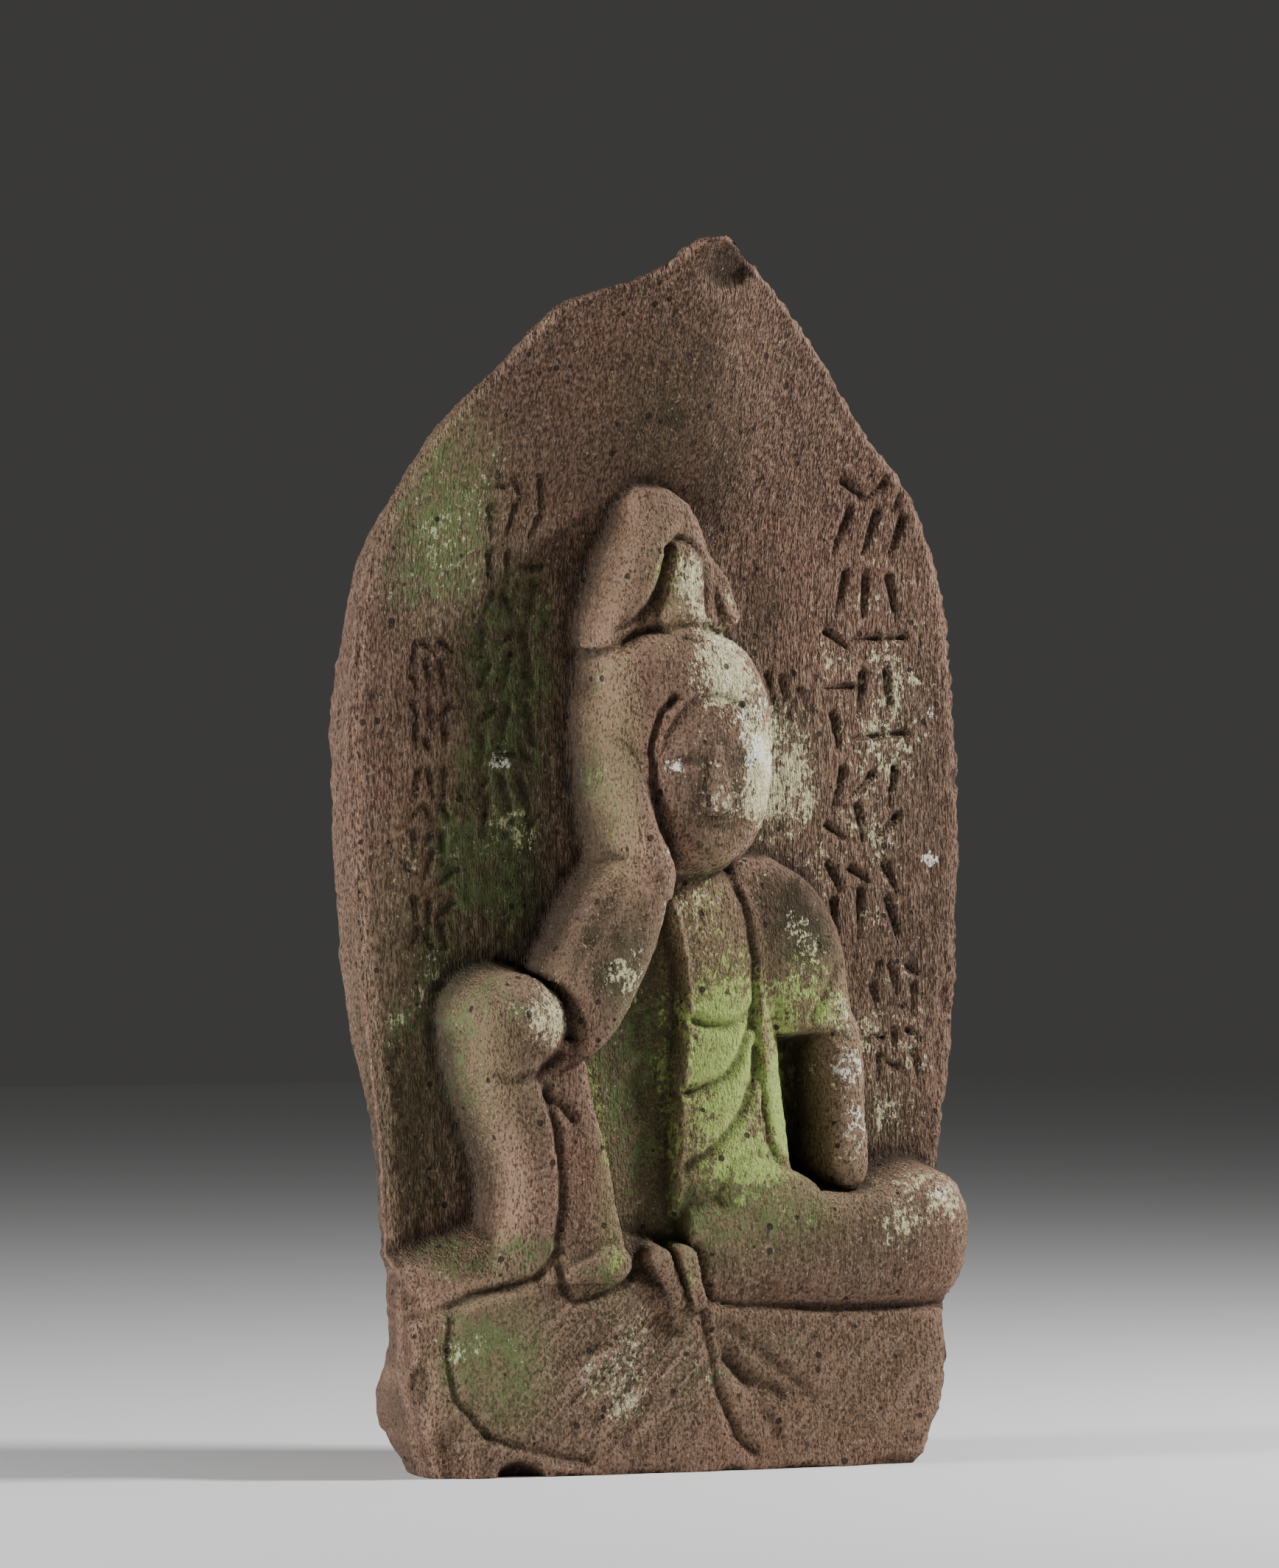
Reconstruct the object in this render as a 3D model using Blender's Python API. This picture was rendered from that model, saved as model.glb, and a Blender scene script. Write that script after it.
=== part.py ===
"""A kannon stele: a boat-shaped slab with a seated, thoughtful kannon carved from the same stone.

The stone is one solid. Its front is a relief, so every point of it is given by how far forward
the stone stands at a place across (x) and up (z). The sides and the rough back close it.
"""

import bmesh
import bpy
import numpy as np
from mathutils import Vector, noise

# Driving dimensions, in metres
STELE_HEIGHT = 0.691
SLAB_WIDTH = 0.380
SIDE_THICKNESS = 0.032
BACK_BULGE = 0.046
BACK_INSET = 0.008
FOOT_INSET = 0.030
FOOT_FLARE = 0.013
SIDE_BULGE = 0.002
EDGE_WEAR = 0.003
FOOT_THICKNESS = 0.032
TIP_LEAN = 0.072
KEEL_HEIGHT = 0.024
BASE_DEPTH = 0.043
BASE_CROWN = 0.009
FIGURE_HEIGHT = 0.550
FIGURE_DEPTH = 0.070
STONE_ROUGHNESS = 0.0022
UNEVENNESS_SEED = 7

# The slab is laid out on a grid 691 steps high and 380 wide, the figure on one 550 high and 70 deep
SLAB_STEPS_HIGH, SLAB_STEPS_WIDE = 691, 380
STEPS_HIGH, STEPS_DEEP = 550, 70
STEP = FIGURE_HEIGHT / STEPS_HIGH
DEPTH_STEP = FIGURE_DEPTH / STEPS_DEEP
WALL_SLOPE = 6.0

# How finely the stone is cut before it is thinned out
ROWS = 236
FRONT_COLUMNS = 160
SIDE_COLUMNS = 8
BACK_COLUMNS = 30
TRIANGLES = 9400
CUT_ALLOWANCE = 0.006

# The slab's two edges in its grid steps: height, then how far left and right of the middle
EDGES = (
    (-10, 150, 134),
    (8, 156, 150),
    (30, 161, 162),
    (60, 166, 167),
    (88, 168, 166),
    (110, 165, 175),
    (131, 164, 181),
    (160, 165, 178),
    (190, 167, 183),
    (224, 171, 187),
    (276, 178, 191),
    (330, 183, 193),
    (412, 186, 192),
    (480, 181, 184),
    (518, 174, 173),
    (550, 161, 155),
    (589, 138, 118),
    (618, 113, 92),
    (640, 94, 69),
    (656, 75, 52),
    (663, 54, 43),
    (670, 36, 33),
    (680, 23, 20),
    (689, 13, 8),
    (691, 5, 4),
)


def smooth(t):
    """0 below 0, 1 above 1 and a soft S between."""
    t = np.clip(t, 0.0, 1.0)
    return t * t * (3.0 - 2.0 * t)


def blend_max(a, b, reach):
    """The higher of two surfaces, run together over the reach."""
    t = np.clip(0.5 + 0.5 * (a - b) / reach, 0.0, 1.0)
    return b + (a - b) * t + reach * t * (1.0 - t)


def along(value, rows, column):
    """A column of the rows at a value of their first column, with rounded joints."""
    knots = np.array([row[0] for row in rows])
    heights = np.array([row[column] for row in rows])
    steps = np.diff(knots)
    slopes = np.diff(heights) / steps
    tangents = np.concatenate(([slopes[0]], 0.5 * (slopes[1:] + slopes[:-1]), [slopes[-1]]))
    value = np.clip(value, knots[0], knots[-1])
    i = np.clip(np.searchsorted(knots, value) - 1, 0, len(steps) - 1)
    t = (value - knots[i]) / steps[i]
    a, b = heights[i], heights[i + 1]
    m, n = tangents[i] * steps[i], tangents[i + 1] * steps[i]
    return (
        a * (2 * t**3 - 3 * t**2 + 1)
        + m * (t**3 - 2 * t**2 + t)
        + b * (3 * t**2 - 2 * t**3)
        + n * (t**3 - t**2)
    )


def to_segment(x, z, start, end):
    """Distance from each point to a straight line between two places, and the share along it."""
    dx, dz = end[0] - start[0], end[1] - start[1]
    share = np.clip(((x - start[0]) * dx + (z - start[1]) * dz) / (dx * dx + dz * dz), 0.0, 1.0)
    return np.hypot(x - start[0] - dx * share, z - start[1] - dz * share), share


def loaf(x, z, spine, sag=0.5, wall=WALL_SLOPE):
    """A rounded mass along a spine of (x, z, radius, depth): its flanks sag, then fall away."""
    top = np.full(np.shape(x), -1000.0)
    for start, end in zip(spine, spine[1:]):
        distance, share = to_segment(x, z, start, end)
        radius = start[2] + (end[2] - start[2]) * share
        depth = start[3] + (end[3] - start[3]) * share
        inside = np.sqrt(np.clip(1.0 - (distance / radius) ** 2, 0.0, 1.0))
        over = np.maximum(distance - radius, 0.0)
        top = np.maximum(top, depth - sag * radius * (1.0 - inside) - wall * over)
    return top


def bolster(across, height, rows, sag=0.5, flat=2.0, lean=0.5, left_sag=None):
    """A rounded mass laid out level by level, in rows of (height, left, right, depth)."""
    left, right, depth = (along(height, rows, column) for column in (1, 2, 3))
    right = np.maximum(right, left + 1.0)
    crest = left + lean * (right - left)
    is_left = across < crest
    off = np.where(is_left, (crest - across) / (crest - left), (across - crest) / (right - crest))
    drop = np.where(is_left, sag if left_sag is None else left_sag, sag) * 0.5 * (right - left)
    inside = np.clip(1.0 - off**flat, 0.0, 1.0) ** (1.0 / flat)
    over = np.maximum(left - across, 0.0) + np.maximum(across - right, 0.0)
    over = over + np.maximum(height - rows[-1][0], 0.0) + np.maximum(rows[0][0] - height, 0.0)
    return depth - drop * (1.0 - inside) - WALL_SLOPE * over


def dome(x, z, centre, size, depth, sag, corner=2.0):
    """An oval mass: highest at its centre, down by the sag at its edge, then falling away."""
    across, up = np.abs(x - centre[0]) / size[0], np.abs(z - centre[1]) / size[1]
    reach = (across**corner + up**corner) ** (1.0 / corner)
    inside = np.clip(1.0 - reach**corner, 0.0, 1.0) ** (1.0 / corner)
    return depth - sag * (1.0 - inside) - WALL_SLOPE * np.maximum(reach - 1.0, 0.0) * min(size)


def groove(x, z, path, width, depth):
    """How deep a rounded cut along a path goes, fading out over its two ends."""
    nearest = np.full(np.shape(x), 1000.0)
    for start, end in zip(path, path[1:]):
        nearest = np.minimum(nearest, to_segment(x, z, start, end)[0])
    return depth * np.exp(-((nearest / width) ** 2))


# The figure's masses in grid steps: spines of (x, z, radius, depth)
TORSO = ((11, 328, 19, 36), (16, 300, 40, 40), (24, 250, 38, 40), (26, 200, 40, 44), (28, 165, 40, 50))
ROBE = ((-30, 290, 24, 22), (-28, 220, 30, 23), (-24, 150, 38, 31))
LAP = ((40, 156, 20, 52), (66, 149, 16, 55))
KNEE = ((-104, 254, 27, 60), (-101, 251, 28, 62))
TOPKNOT_PANEL = ((-4, 510, 11, 49), (-4, 482, 14, 52))
STRAND = ((13, 514, 4, 42), (22, 498, 5, 44), (29, 481, 5, 43))
FOOT = ((-74, 112, 5, 55), (-50, 118, 11, 56))
SASH_ENDS = (((-22, 120, 6, 58), (-10, 96, 4, 56)), ((-6, 121, 5, 60), (2, 95, 4, 58)))

# Masses laid out level by level: (height, left, right, depth)
ARM = (
    (246, 60, 111, 37),
    (264, 52, 108, 37),
    (285, 42, 106, 36),
    (302, 34, 103, 34),
    (319, 30, 95, 32),
    (332, 26, 84, 29),
    (343, 24, 66, 24),
)
FOREARM = (
    (156, 101, 109, 40),
    (163, 95, 112, 46),
    (200, 92, 114, 43),
    (244, 88, 114, 38),
    (262, 84, 110, 32),
)
SHIN = (
    (96, -150, -80, 42),
    (104, -142, -80, 46),
    (114, -131, -79, 49),
    (128, -115, -78, 51),
    (150, -107, -78, 53),
    (170, -108, -79, 54),
    (190, -115, -82, 55),
    (206, -121, -86, 56),
    (225, -127, -91, 57),
    (245, -130, -95, 58),
)
DRAPE = (
    (108, -104, -38, 50),
    (130, -98, -42, 51),
    (153, -95, -47, 50),
    (170, -95, -50, 50),
    (191, -96, -56, 51),
    (212, -98, -63, 52),
    (231, -98, -67, 53),
    (243, -98, -73, 53),
)
SLEEVE = (
    (236, -72, -64, 60),
    (244, -75, -54, 63),
    (256, -78, -43, 65),
    (272, -79, -33, 66),
    (285, -76, -26, 66),
    (300, -68, -20, 65),
    (318, -59, -15, 64),
    (333, -48, -12, 63),
    (342, -41, -12, 60),
)
HAND = (
    (322, -40, -12, 60),
    (336, -39, -11, 63),
    (347, -40, -14, 62),
    (362, -42, -21, 59),
    (380, -44, -27, 56),
    (398, -47, -32, 52),
    (414, -48, -38, 46),
    (432, -48, -41, 38),
    (452, -46, -42, 22),
)
HAND_EDGE = ((330, -11), (347, -16), (360, -24), (374, -29), (386, -33), (398, -38), (408, -44), (416, -52))
HAIR_FLANK = (
    (340, -40, -10, 44),
    (380, -45, 0, 46),
    (404, -48, 10, 50),
    (425, -48, 10, 53),
    (442, -48, 10, 54),
    (458, -46, 10, 53),
    (470, -36, 10, 48),
)

# The topknot: its whole, and the looped lock over its left half
TOPKNOT = (
    (464, -46, 30, 44),
    (490, -43, 26, 45),
    (505, -39, 19, 47),
    (520, -35, 14, 47),
    (535, -31, 8, 45),
    (544, -29, 2, 43),
    (551, -26, -7, 39),
)
TOPKNOT_LOCK = (
    (464, -47, -38, 42),
    (480, -46, -25, 47),
    (496, -42, -17, 51),
    (517, -36, -13, 53),
    (533, -31, -3, 50),
    (546, -28, -2, 44),
)

# The leg that lies flat, from hip to knee: (x, lower edge, upper edge, depth)
LEFT_LEG = (
    (0, 90, 148, 50),
    (30, 90, 158, 54),
    (59, 90, 163, 57),
    (85, 90, 156, 58),
    (111, 90, 156, 57),
    (149, 91, 167, 54),
    (166, 94, 164, 49),
    (176, 101, 156, 42),
    (182, 116, 142, 34),
)
FACE_CENTRE, FACE_SIZE = (10, 388), (36, 51)
HAIR_CENTRE, HAIR_SIZE = (4, 404), (52, 70)

# Edges of cloth: (z, x) of the open robe's two lapels, and (x, z) of the base's top line
LEFT_LAPEL = ((100, -9), (127, -7), (166, -4), (223, 1), (262, 4), (300, -1), (340, -10))
RIGHT_LAPEL = ((150, 66), (171, 59), (184, 51), (236, 48), (286, 46), (330, 36), (343, 31))
BASE_TOP = ((-190, 84), (-150, 94), (-108, 106), (-85, 122), (-60, 114), (0, 98), (190, 92))

# Cuts: width, depth and path of each, in grid steps
CUTS = (
    (3.2, 5.0, ((-57, 458), (-42, 472), (-30, 480), (-20, 494), (-14, 517))),
    (2.2, 3.0, ((-16, 517), (-9, 524), (1, 520), (11, 512), (9, 482))),
    (2.4, 3.0, ((15, 517), (21, 500), (31, 482))),
    (2.0, 2.5, ((-22, 550), (-33, 526), (-38, 510))),
    (3.0, 4.0, ((-52, 456), (-42, 465), (-23, 473), (8, 476), (28, 470))),
    (2.6, 4.5, ((-14, 434), (-22, 426), (-27, 408), (-26, 388), (-21, 369), (-14, 350), (-8, 337))),
    (3.0, 2.0, ((-46, 334), (-36, 331), (-26, 331))),
    (2.8, 6.0, ((-42, 334), (-48, 323), (-56, 312), (-62, 300))),
    (3.2, 3.5, ((3, 254), (15, 250), (26, 249), (36, 252), (44, 259))),
    (3.2, 4.5, ((44, 252), (40, 243), (34, 230), (26, 221), (12, 214), (-1, 211))),
    (3.2, 4.5, ((46, 236), (44, 220), (38, 206), (33, 197), (22, 186), (12, 178), (-3, 168))),
    (2.2, 4.0, ((31, 342), (40, 316), (46, 286), (47, 250), (49, 210), (51, 184), (59, 172))),
    (2.4, 2.5, ((99, 283), (91, 270), (81, 252))),
    (2.6, 3.0, ((-97, 222), (-91, 213), (-81, 206), (-75, 199))),
    (2.6, 3.5, ((-92, 213), (-86, 196), (-82, 173), (-81, 152), (-85, 131))),
    (2.8, 3.5, ((-119, 225), (-110, 221), (-96, 225), (-84, 235))),
    (2.6, 1.5, ((90, 246), (100, 242), (113, 243))),
    (2.2, 2.5, ((-168, 116), (-155, 123), (-139, 134), (-129, 138))),
    (2.6, 3.0, ((-84, 117), (-80, 105), (-74, 97), (-62, 99), (-48, 104), (-32, 115))),
    (2.6, 3.5, ((-170, 88), (-150, 94), (-132, 102), (-108, 106), (-96, 111), (-84, 126))),
    (2.6, 4.0, ((162, 90), (93, 91), (27, 93), (11, 96), (5, 106), (2, 126))),
    (2.8, 2.5, ((-95, 110), (-125, 102), (-146, 94), (-149, 72), (-143, 44), (-125, 24))),
    (2.8, 2.5, ((-125, 24), (-112, 19), (-95, 14), (-64, 8))),
    (2.8, 3.0, ((4, 92), (10, 66), (14, 46), (27, 19), (38, 10))),
    (6.0, 4.5, ((21, 62), (35, 51), (52, 43))),
)

# The base cloth's folds fan out from a hub: (x, z), the nearest and farthest reach, and each turn
FOLD_HUB, FOLD_REACH = (2, 96), (22, 92)
FOLD_TURNS = (-68, -55, -43, -30, 33, 52)
FOLD_WIDTH, FOLD_DEPTH = 4.5, 2.2

# Places where the stone is broken away: centre, size across and up, depth
BREAKS = (
    ((8, 675), (16, 13), 9.0),
    ((-104, 0), (13, 9), 14.0),
    ((-150, 4), (14, 20), 8.0),
    ((172, 91), (6, 4), 6.0),
)


def field(x, z):
    """The flat ground behind the figure: it leans forward to the tip and has a keel there."""
    share = z / STELE_HEIGHT
    rise = np.clip((share - 0.62) / 0.38, 0.0, 1.1)
    middle = 0.018 - 0.16 * (z - 0.813 * STELE_HEIGHT)
    keel = KEEL_HEIGHT * np.exp(-np.hypot(x - middle, 0.008) / (0.15 * SLAB_WIDTH))
    return TIP_LEAN * rise**2.2 + keel * smooth((share - 0.74) / 0.14)


def base(x, z):
    """The block below the figure, in grid steps: crowned in front, sloping back at its top."""
    line = along(x, BASE_TOP, 1)
    front = (BASE_DEPTH + BASE_CROWN * (1.0 - (x / 165.0) ** 2)) / DEPTH_STEP
    over = np.maximum(z - line, 0.0)
    slope = 0.72 * over + 1.8 * np.maximum(over - 26.0, 0.0)
    return front - slope - 8.0 * smooth((np.abs(x) - 148.0) / 24.0)


def face(x, z):
    """A calm, worn face: brow, long nose, lowered lids and a small mouth on an even oval."""
    cx, cz = FACE_CENTRE
    across, up = (x - cx) / FACE_SIZE[0], (z - cz) / FACE_SIZE[1]
    skin = dome(x, z, FACE_CENTRE, FACE_SIZE, 62.0, 13.0)
    nose = loaf(x, z, ((cx, cz + 17, 3.0, 63.5), (cx, cz - 11, 6.5, 69.5)), 0.6, 2.0)
    sockets = sum(
        3.2 * np.exp(-(((across - s * 0.43) / 0.27) ** 2) - ((up - 0.19) / 0.10) ** 2)
        - 1.6 * np.exp(-(((across - s * 0.43) / 0.20) ** 2) - ((up - 0.13) / 0.045) ** 2)
        for s in (-1, 1)
    )
    mouth = 2.0 * np.exp(-((across / 0.24) ** 2) - ((up + 0.52) / 0.035) ** 2)
    chin = 1.6 * np.exp(-((across / 0.3) ** 2) - ((up + 0.76) / 0.14) ** 2)
    lips = 1.2 * np.exp(-((across / 0.22) ** 2) - ((up + 0.52) / 0.10) ** 2)
    return blend_max(skin - sockets, nose, 1.5) - mouth + lips + chin


def figure(x, z):
    """How far forward the figure stands, all in grid steps."""
    body = blend_max(loaf(x, z, ROBE, 0.12), base(x, z), 8.0)
    chest = loaf(x, z, TORSO, 0.4)
    from_lapel = x - along(z, LEFT_LAPEL, 1)
    inner = smooth((along(z, RIGHT_LAPEL, 1) - x) / 3.0) * smooth((from_lapel + 3.0) / 3.0)
    chest = chest - 12.0 * smooth(-from_lapel / 5.0) - 2.5 * inner + 3.0 * np.exp(-((from_lapel / 2.2) ** 2))
    body = blend_max(body, blend_max(chest, bolster(x, z, ARM, 0.3), 5.0), 3.0)
    for mass, sag, flat, lean, left_sag, reach in (
        (FOREARM, 0.7, 2.0, 0.5, 0.7, 3.0),
        (DRAPE, 0.15, 4.0, 0.5, 0.15, 4.0),
        (SHIN, 0.9, 2.0, 0.7, 1.5, 3.0),
    ):
        body = blend_max(body, bolster(x, z, mass, sag, flat, lean, left_sag), reach)
    body = blend_max(body, bolster(z, x, LEFT_LEG, 0.55, 2.6), 5.0)
    for mass, sag, reach in ((LAP, 0.5, 9.0), (KNEE, 1.0, 4.0), (FOOT, 0.4, 2.0)):
        body = blend_max(body, loaf(x, z, mass, sag), reach)
    for end in SASH_ENDS:
        body = blend_max(body, loaf(x, z, end, 0.3), 1.5)

    hair = dome(x, z, HAIR_CENTRE, HAIR_SIZE, 58.0, 30.0, 2.5)
    flank = bolster(x, z, HAIR_FLANK, 0.7, 2.2, 0.5, 1.1)
    body = blend_max(body, blend_max(hair, flank, 5.0), 3.0)
    body = blend_max(body, bolster(x, z, TOPKNOT, 0.5, 2.6), 2.0)
    body = blend_max(body, bolster(x, z, TOPKNOT_LOCK, 0.8, 2.2), 2.0)
    for mass, sag, reach in ((TOPKNOT_PANEL, 0.3, 3.0), (STRAND, 0.6, 1.5)):
        body = blend_max(body, loaf(x, z, mass, sag), reach)
    reach = np.hypot(
        (x - FACE_CENTRE[0]) / FACE_SIZE[0], (z - FACE_CENTRE[1]) / FACE_SIZE[1]
    )
    body = body + (face(x, z) - body) * smooth((1.0 - reach) / 0.07)
    hand = bolster(x, z, HAND, 1.4, 2.0, 0.6, 2.4) - 4.0 * smooth((x - along(z, HAND_EDGE, 1)) / 6.0)
    body = blend_max(blend_max(body, bolster(x, z, SLEEVE, 1.1, 2.0, 0.58, 1.6), 2.0), hand, 4.0)
    for width, depth, path in CUTS:
        body = body - groove(x, z, path, width, depth)
    for turn in np.radians(FOLD_TURNS):
        ends = [(FOLD_HUB[0] + r * np.sin(turn), FOLD_HUB[1] - r * np.cos(turn)) for r in FOLD_REACH]
        body = body - groove(x, z, ends, FOLD_WIDTH, FOLD_DEPTH)
    return body


def forward(x, z):
    """How far forward of the slab's plain front the stone stands, in metres."""
    gx, gz = x / STEP, z / STEP
    front = blend_max(figure(gx, gz) * DEPTH_STEP, field(x, z), 0.0035)
    for (cx, cz), (rx, rz), depth in BREAKS:
        off = ((gx - cx) / rx) ** 2 + ((gz - cz) / rz) ** 2
        front = front - depth * DEPTH_STEP * np.exp(-(off**2))
    left, right = half_widths(z)
    near = np.clip(1.0 - np.minimum(x - left, right - x) / (2.0 * EDGE_WEAR), 0.0, 1.0)
    return front - EDGE_WEAR * near**2


def half_widths(z):
    """Where the slab's left and right edges are at a height."""
    level = z / STELE_HEIGHT * SLAB_STEPS_HIGH
    step = SLAB_WIDTH / SLAB_STEPS_WIDE
    return -step * along(level, EDGES, 1), step * along(level, EDGES, 2)


def ring(z):
    """One level of the stone, from the front's left edge round to the same edge again."""
    left, right = half_widths(z)
    share = z / STELE_HEIGHT
    x = np.linspace(left, right, FRONT_COLUMNS + 1)
    front = forward(x, np.full_like(x, z))
    ground = field(x, np.full_like(x, z))
    thick = SIDE_THICKNESS * (1.0 - 0.35 * smooth((share - 0.75) / 0.25))
    thick = thick + FOOT_THICKNESS * (1.0 - smooth(share / 0.34))
    bulge = BACK_BULGE * (1.0 - 0.75 * smooth((share - 0.55) / 0.45))
    inset = BACK_INSET * smooth((share - 0.62) / 0.2) + FOOT_INSET * (1.0 - smooth((share - 0.10) / 0.28))
    flare = FOOT_FLARE * np.exp(-(((share - 0.045) / 0.035) ** 2))
    middle, half = 0.5 * (left + right), 0.5 * (right - left)
    inset = min(inset, 0.4 * half)

    def side(at, sign, toe):
        t = np.arange(1, SIDE_COLUMNS) / SIDE_COLUMNS
        y = -front[at] + (thick - ground[at] + front[at]) * t
        return x[at] + sign * (SIDE_BULGE * np.sin(np.pi * t) + toe * t - inset * t**1.5), y

    u = np.linspace(1.0, -1.0, BACK_COLUMNS + 1)
    edge = ground[0] + (ground[-1] - ground[0]) * (0.5 + 0.5 * u)
    back_y = thick - edge + bulge * (1.0 - np.abs(u) ** 2.4)
    back_x = middle + (half - inset) * u - flare * smooth((-u - 0.6) / 0.4)
    right_x, right_y = side(-1, 1.0, 0.0)
    left_x, left_y = side(0, -1.0, flare)
    xs = np.concatenate((x, right_x, back_x, left_x[::-1]))
    ys = np.concatenate((-front, right_y, back_y, left_y[::-1]))
    return np.column_stack((xs, ys, np.full_like(xs, z)))


def weathered(point, is_front):
    """The point moved by the stone's unevenness, more on the rough sides and back."""
    amount = STONE_ROUGHNESS * (0.22 if is_front else 1.0)
    shift = noise.noise_vector(Vector(point) * 28.0) + 0.5 * noise.noise_vector(Vector(point) * 75.0)
    return Vector(point) + amount * shift


def carved_stone():
    """The closed mesh of the stone, a little too long at its foot."""
    bm = bmesh.new()
    levels = np.linspace(-CUT_ALLOWANCE, STELE_HEIGHT, ROWS + 1)
    rings = []
    for z in levels:
        points = ring(z)
        rings.append(
            [bm.verts.new(weathered(p, i <= FRONT_COLUMNS)) for i, p in enumerate(points)]
        )
    for low, high in zip(rings, rings[1:]):
        count = len(low)
        for i in range(count):
            j = (i + 1) % count
            bm.faces.new((low[i], low[j], high[j], high[i]))
    bm.faces.new(rings[0][::-1])
    bm.faces.new(rings[-1])
    return bm


def thinned(bm):
    """The same stone with its plain areas in few faces, so the carving keeps the most."""
    bmesh.ops.triangulate(bm, faces=bm.faces)
    mesh = bpy.data.meshes.new("stele")
    bm.to_mesh(mesh)
    stone = bpy.data.objects.new("stele", mesh)
    bpy.context.collection.objects.link(stone)
    thin = stone.modifiers.new("Thin out", "DECIMATE")
    thin.ratio = TRIANGLES / len(bm.faces)
    thin.use_collapse_triangulate = True
    ready = stone.evaluated_get(bpy.context.evaluated_depsgraph_get())
    bm.clear()
    bm.from_mesh(ready.to_mesh())
    stone.modifiers.clear()
    return stone


def stand_flat(bm):
    """Cuts the foot off level at the ground."""
    every = bm.verts[:] + bm.edges[:] + bm.faces[:]
    bmesh.ops.bisect_plane(
        bm, geom=every, dist=1e-5, plane_co=(0, 0, 0), plane_no=(0, 0, 1), clear_inner=True
    )
    rim = [e for e in bm.edges if e.is_boundary]
    bmesh.ops.edgeloop_fill(bm, edges=rim)
    bmesh.ops.triangulate(bm, faces=bm.faces)
    bmesh.ops.recalc_face_normals(bm, faces=bm.faces)


def centred(bm):
    """Moves the stone so that the middle of its box stands over the origin."""
    low = [min(v.co[i] for v in bm.verts) for i in range(2)]
    high = [max(v.co[i] for v in bm.verts) for i in range(2)]
    shift = Vector((-(low[0] + high[0]) / 2, -(low[1] + high[1]) / 2, 0.0))
    bmesh.ops.translate(bm, verts=bm.verts, vec=shift)


def stone_material():
    """Reddish-brown porous stone."""
    material = bpy.data.materials.new("weathered red-brown stone")
    material.use_nodes = True
    shader = material.node_tree.nodes["Principled BSDF"]
    shader.inputs["Base Color"].default_value = (0.165, 0.082, 0.062, 1.0)
    shader.inputs["Roughness"].default_value = 0.92
    shader.inputs["Metallic"].default_value = 0.0
    return material


def main():
    for obj in list(bpy.data.objects):
        bpy.data.objects.remove(obj)
    noise.seed_set(UNEVENNESS_SEED)
    bm = carved_stone()
    stone = thinned(bm)
    stand_flat(bm)
    centred(bm)
    bm.to_mesh(stone.data)
    bm.free()
    stone.data.materials.append(stone_material())


main()
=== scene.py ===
"""A kannon stele in weathered red-brown volcanic stone, seen from the front left.

The slab and the seated figure are one stone. A sheet is rolled round into the stone's shape, its
front carved to the relief, and the chisel marks, pits, algae and lichen are laid over it. Shade is
painted into the colour of its recesses, cut strokes, pits and short chisel marks and of some dark
discolouring, and highlight onto its rubbed edges and the crests of its hatching.
"""

import math
import random

import bmesh
import bpy
import numpy as np
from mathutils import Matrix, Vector, noise


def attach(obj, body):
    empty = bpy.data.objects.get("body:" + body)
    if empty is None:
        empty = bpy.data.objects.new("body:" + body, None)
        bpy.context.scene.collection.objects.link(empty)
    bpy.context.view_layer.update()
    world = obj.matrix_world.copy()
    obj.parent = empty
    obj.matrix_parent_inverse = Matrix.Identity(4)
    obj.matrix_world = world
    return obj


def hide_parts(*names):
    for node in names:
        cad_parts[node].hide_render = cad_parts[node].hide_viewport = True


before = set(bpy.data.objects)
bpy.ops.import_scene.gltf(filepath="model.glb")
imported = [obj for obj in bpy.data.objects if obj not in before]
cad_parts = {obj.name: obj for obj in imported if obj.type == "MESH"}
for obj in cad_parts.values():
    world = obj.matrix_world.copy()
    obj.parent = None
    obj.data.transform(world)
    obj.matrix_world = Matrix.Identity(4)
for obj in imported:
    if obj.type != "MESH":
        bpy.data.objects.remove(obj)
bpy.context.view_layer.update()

# Driving dimensions, in metres
STELE_HEIGHT = 0.691
SLAB_WIDTH = 0.380
SIDE_THICKNESS = 0.032
BACK_BULGE = 0.046
BACK_INSET = 0.008
FOOT_INSET = 0.030
FOOT_FLARE = 0.013
SIDE_BULGE = 0.002
EDGE_WEAR = 0.003
FOOT_THICKNESS = 0.032
TIP_LEAN = 0.072
KEEL_HEIGHT = 0.024
BASE_DEPTH = 0.043
BASE_CROWN = 0.009
FIGURE_HEIGHT = 0.550
FIGURE_DEPTH = 0.070
STONE_ROUGHNESS = 0.0022
UNEVENNESS_SEED = 7

# The slab's lean and keel: where each starts as a share of the height, and over how much it grows
LEAN_FROM, LEAN_OVER, LEAN_MOST, LEAN_POWER = 0.62, 0.38, 1.1, 2.2
KEEL_FROM, KEEL_OVER = 0.74, 0.14
KEEL_MIDDLE, KEEL_TILT, KEEL_LEVEL = 0.018, 0.16, 0.813
KEEL_BLUNTNESS, KEEL_SPREAD = 0.008, 0.15

# The same for the back and sides, and how much each takes off or adds
TOP_THINS_FROM, TOP_THINS_OVER, TOP_THINS_BY = 0.75, 0.25, 0.35
FOOT_THICKENS_OVER = 0.34
BULGE_FADES_FROM, BULGE_FADES_OVER, BULGE_FADES_BY = 0.55, 0.45, 0.75
INSET_FROM, INSET_OVER, INSET_MOST, INSET_POWER = 0.62, 0.2, 0.4, 1.5
FOOT_INSET_FROM, FOOT_INSET_OVER = 0.10, 0.28
FLARE_LEVEL, FLARE_SPREAD, FLARE_FROM, FLARE_OVER = 0.045, 0.035, 0.6, 0.4
BULGE_POWER = 2.4

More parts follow.
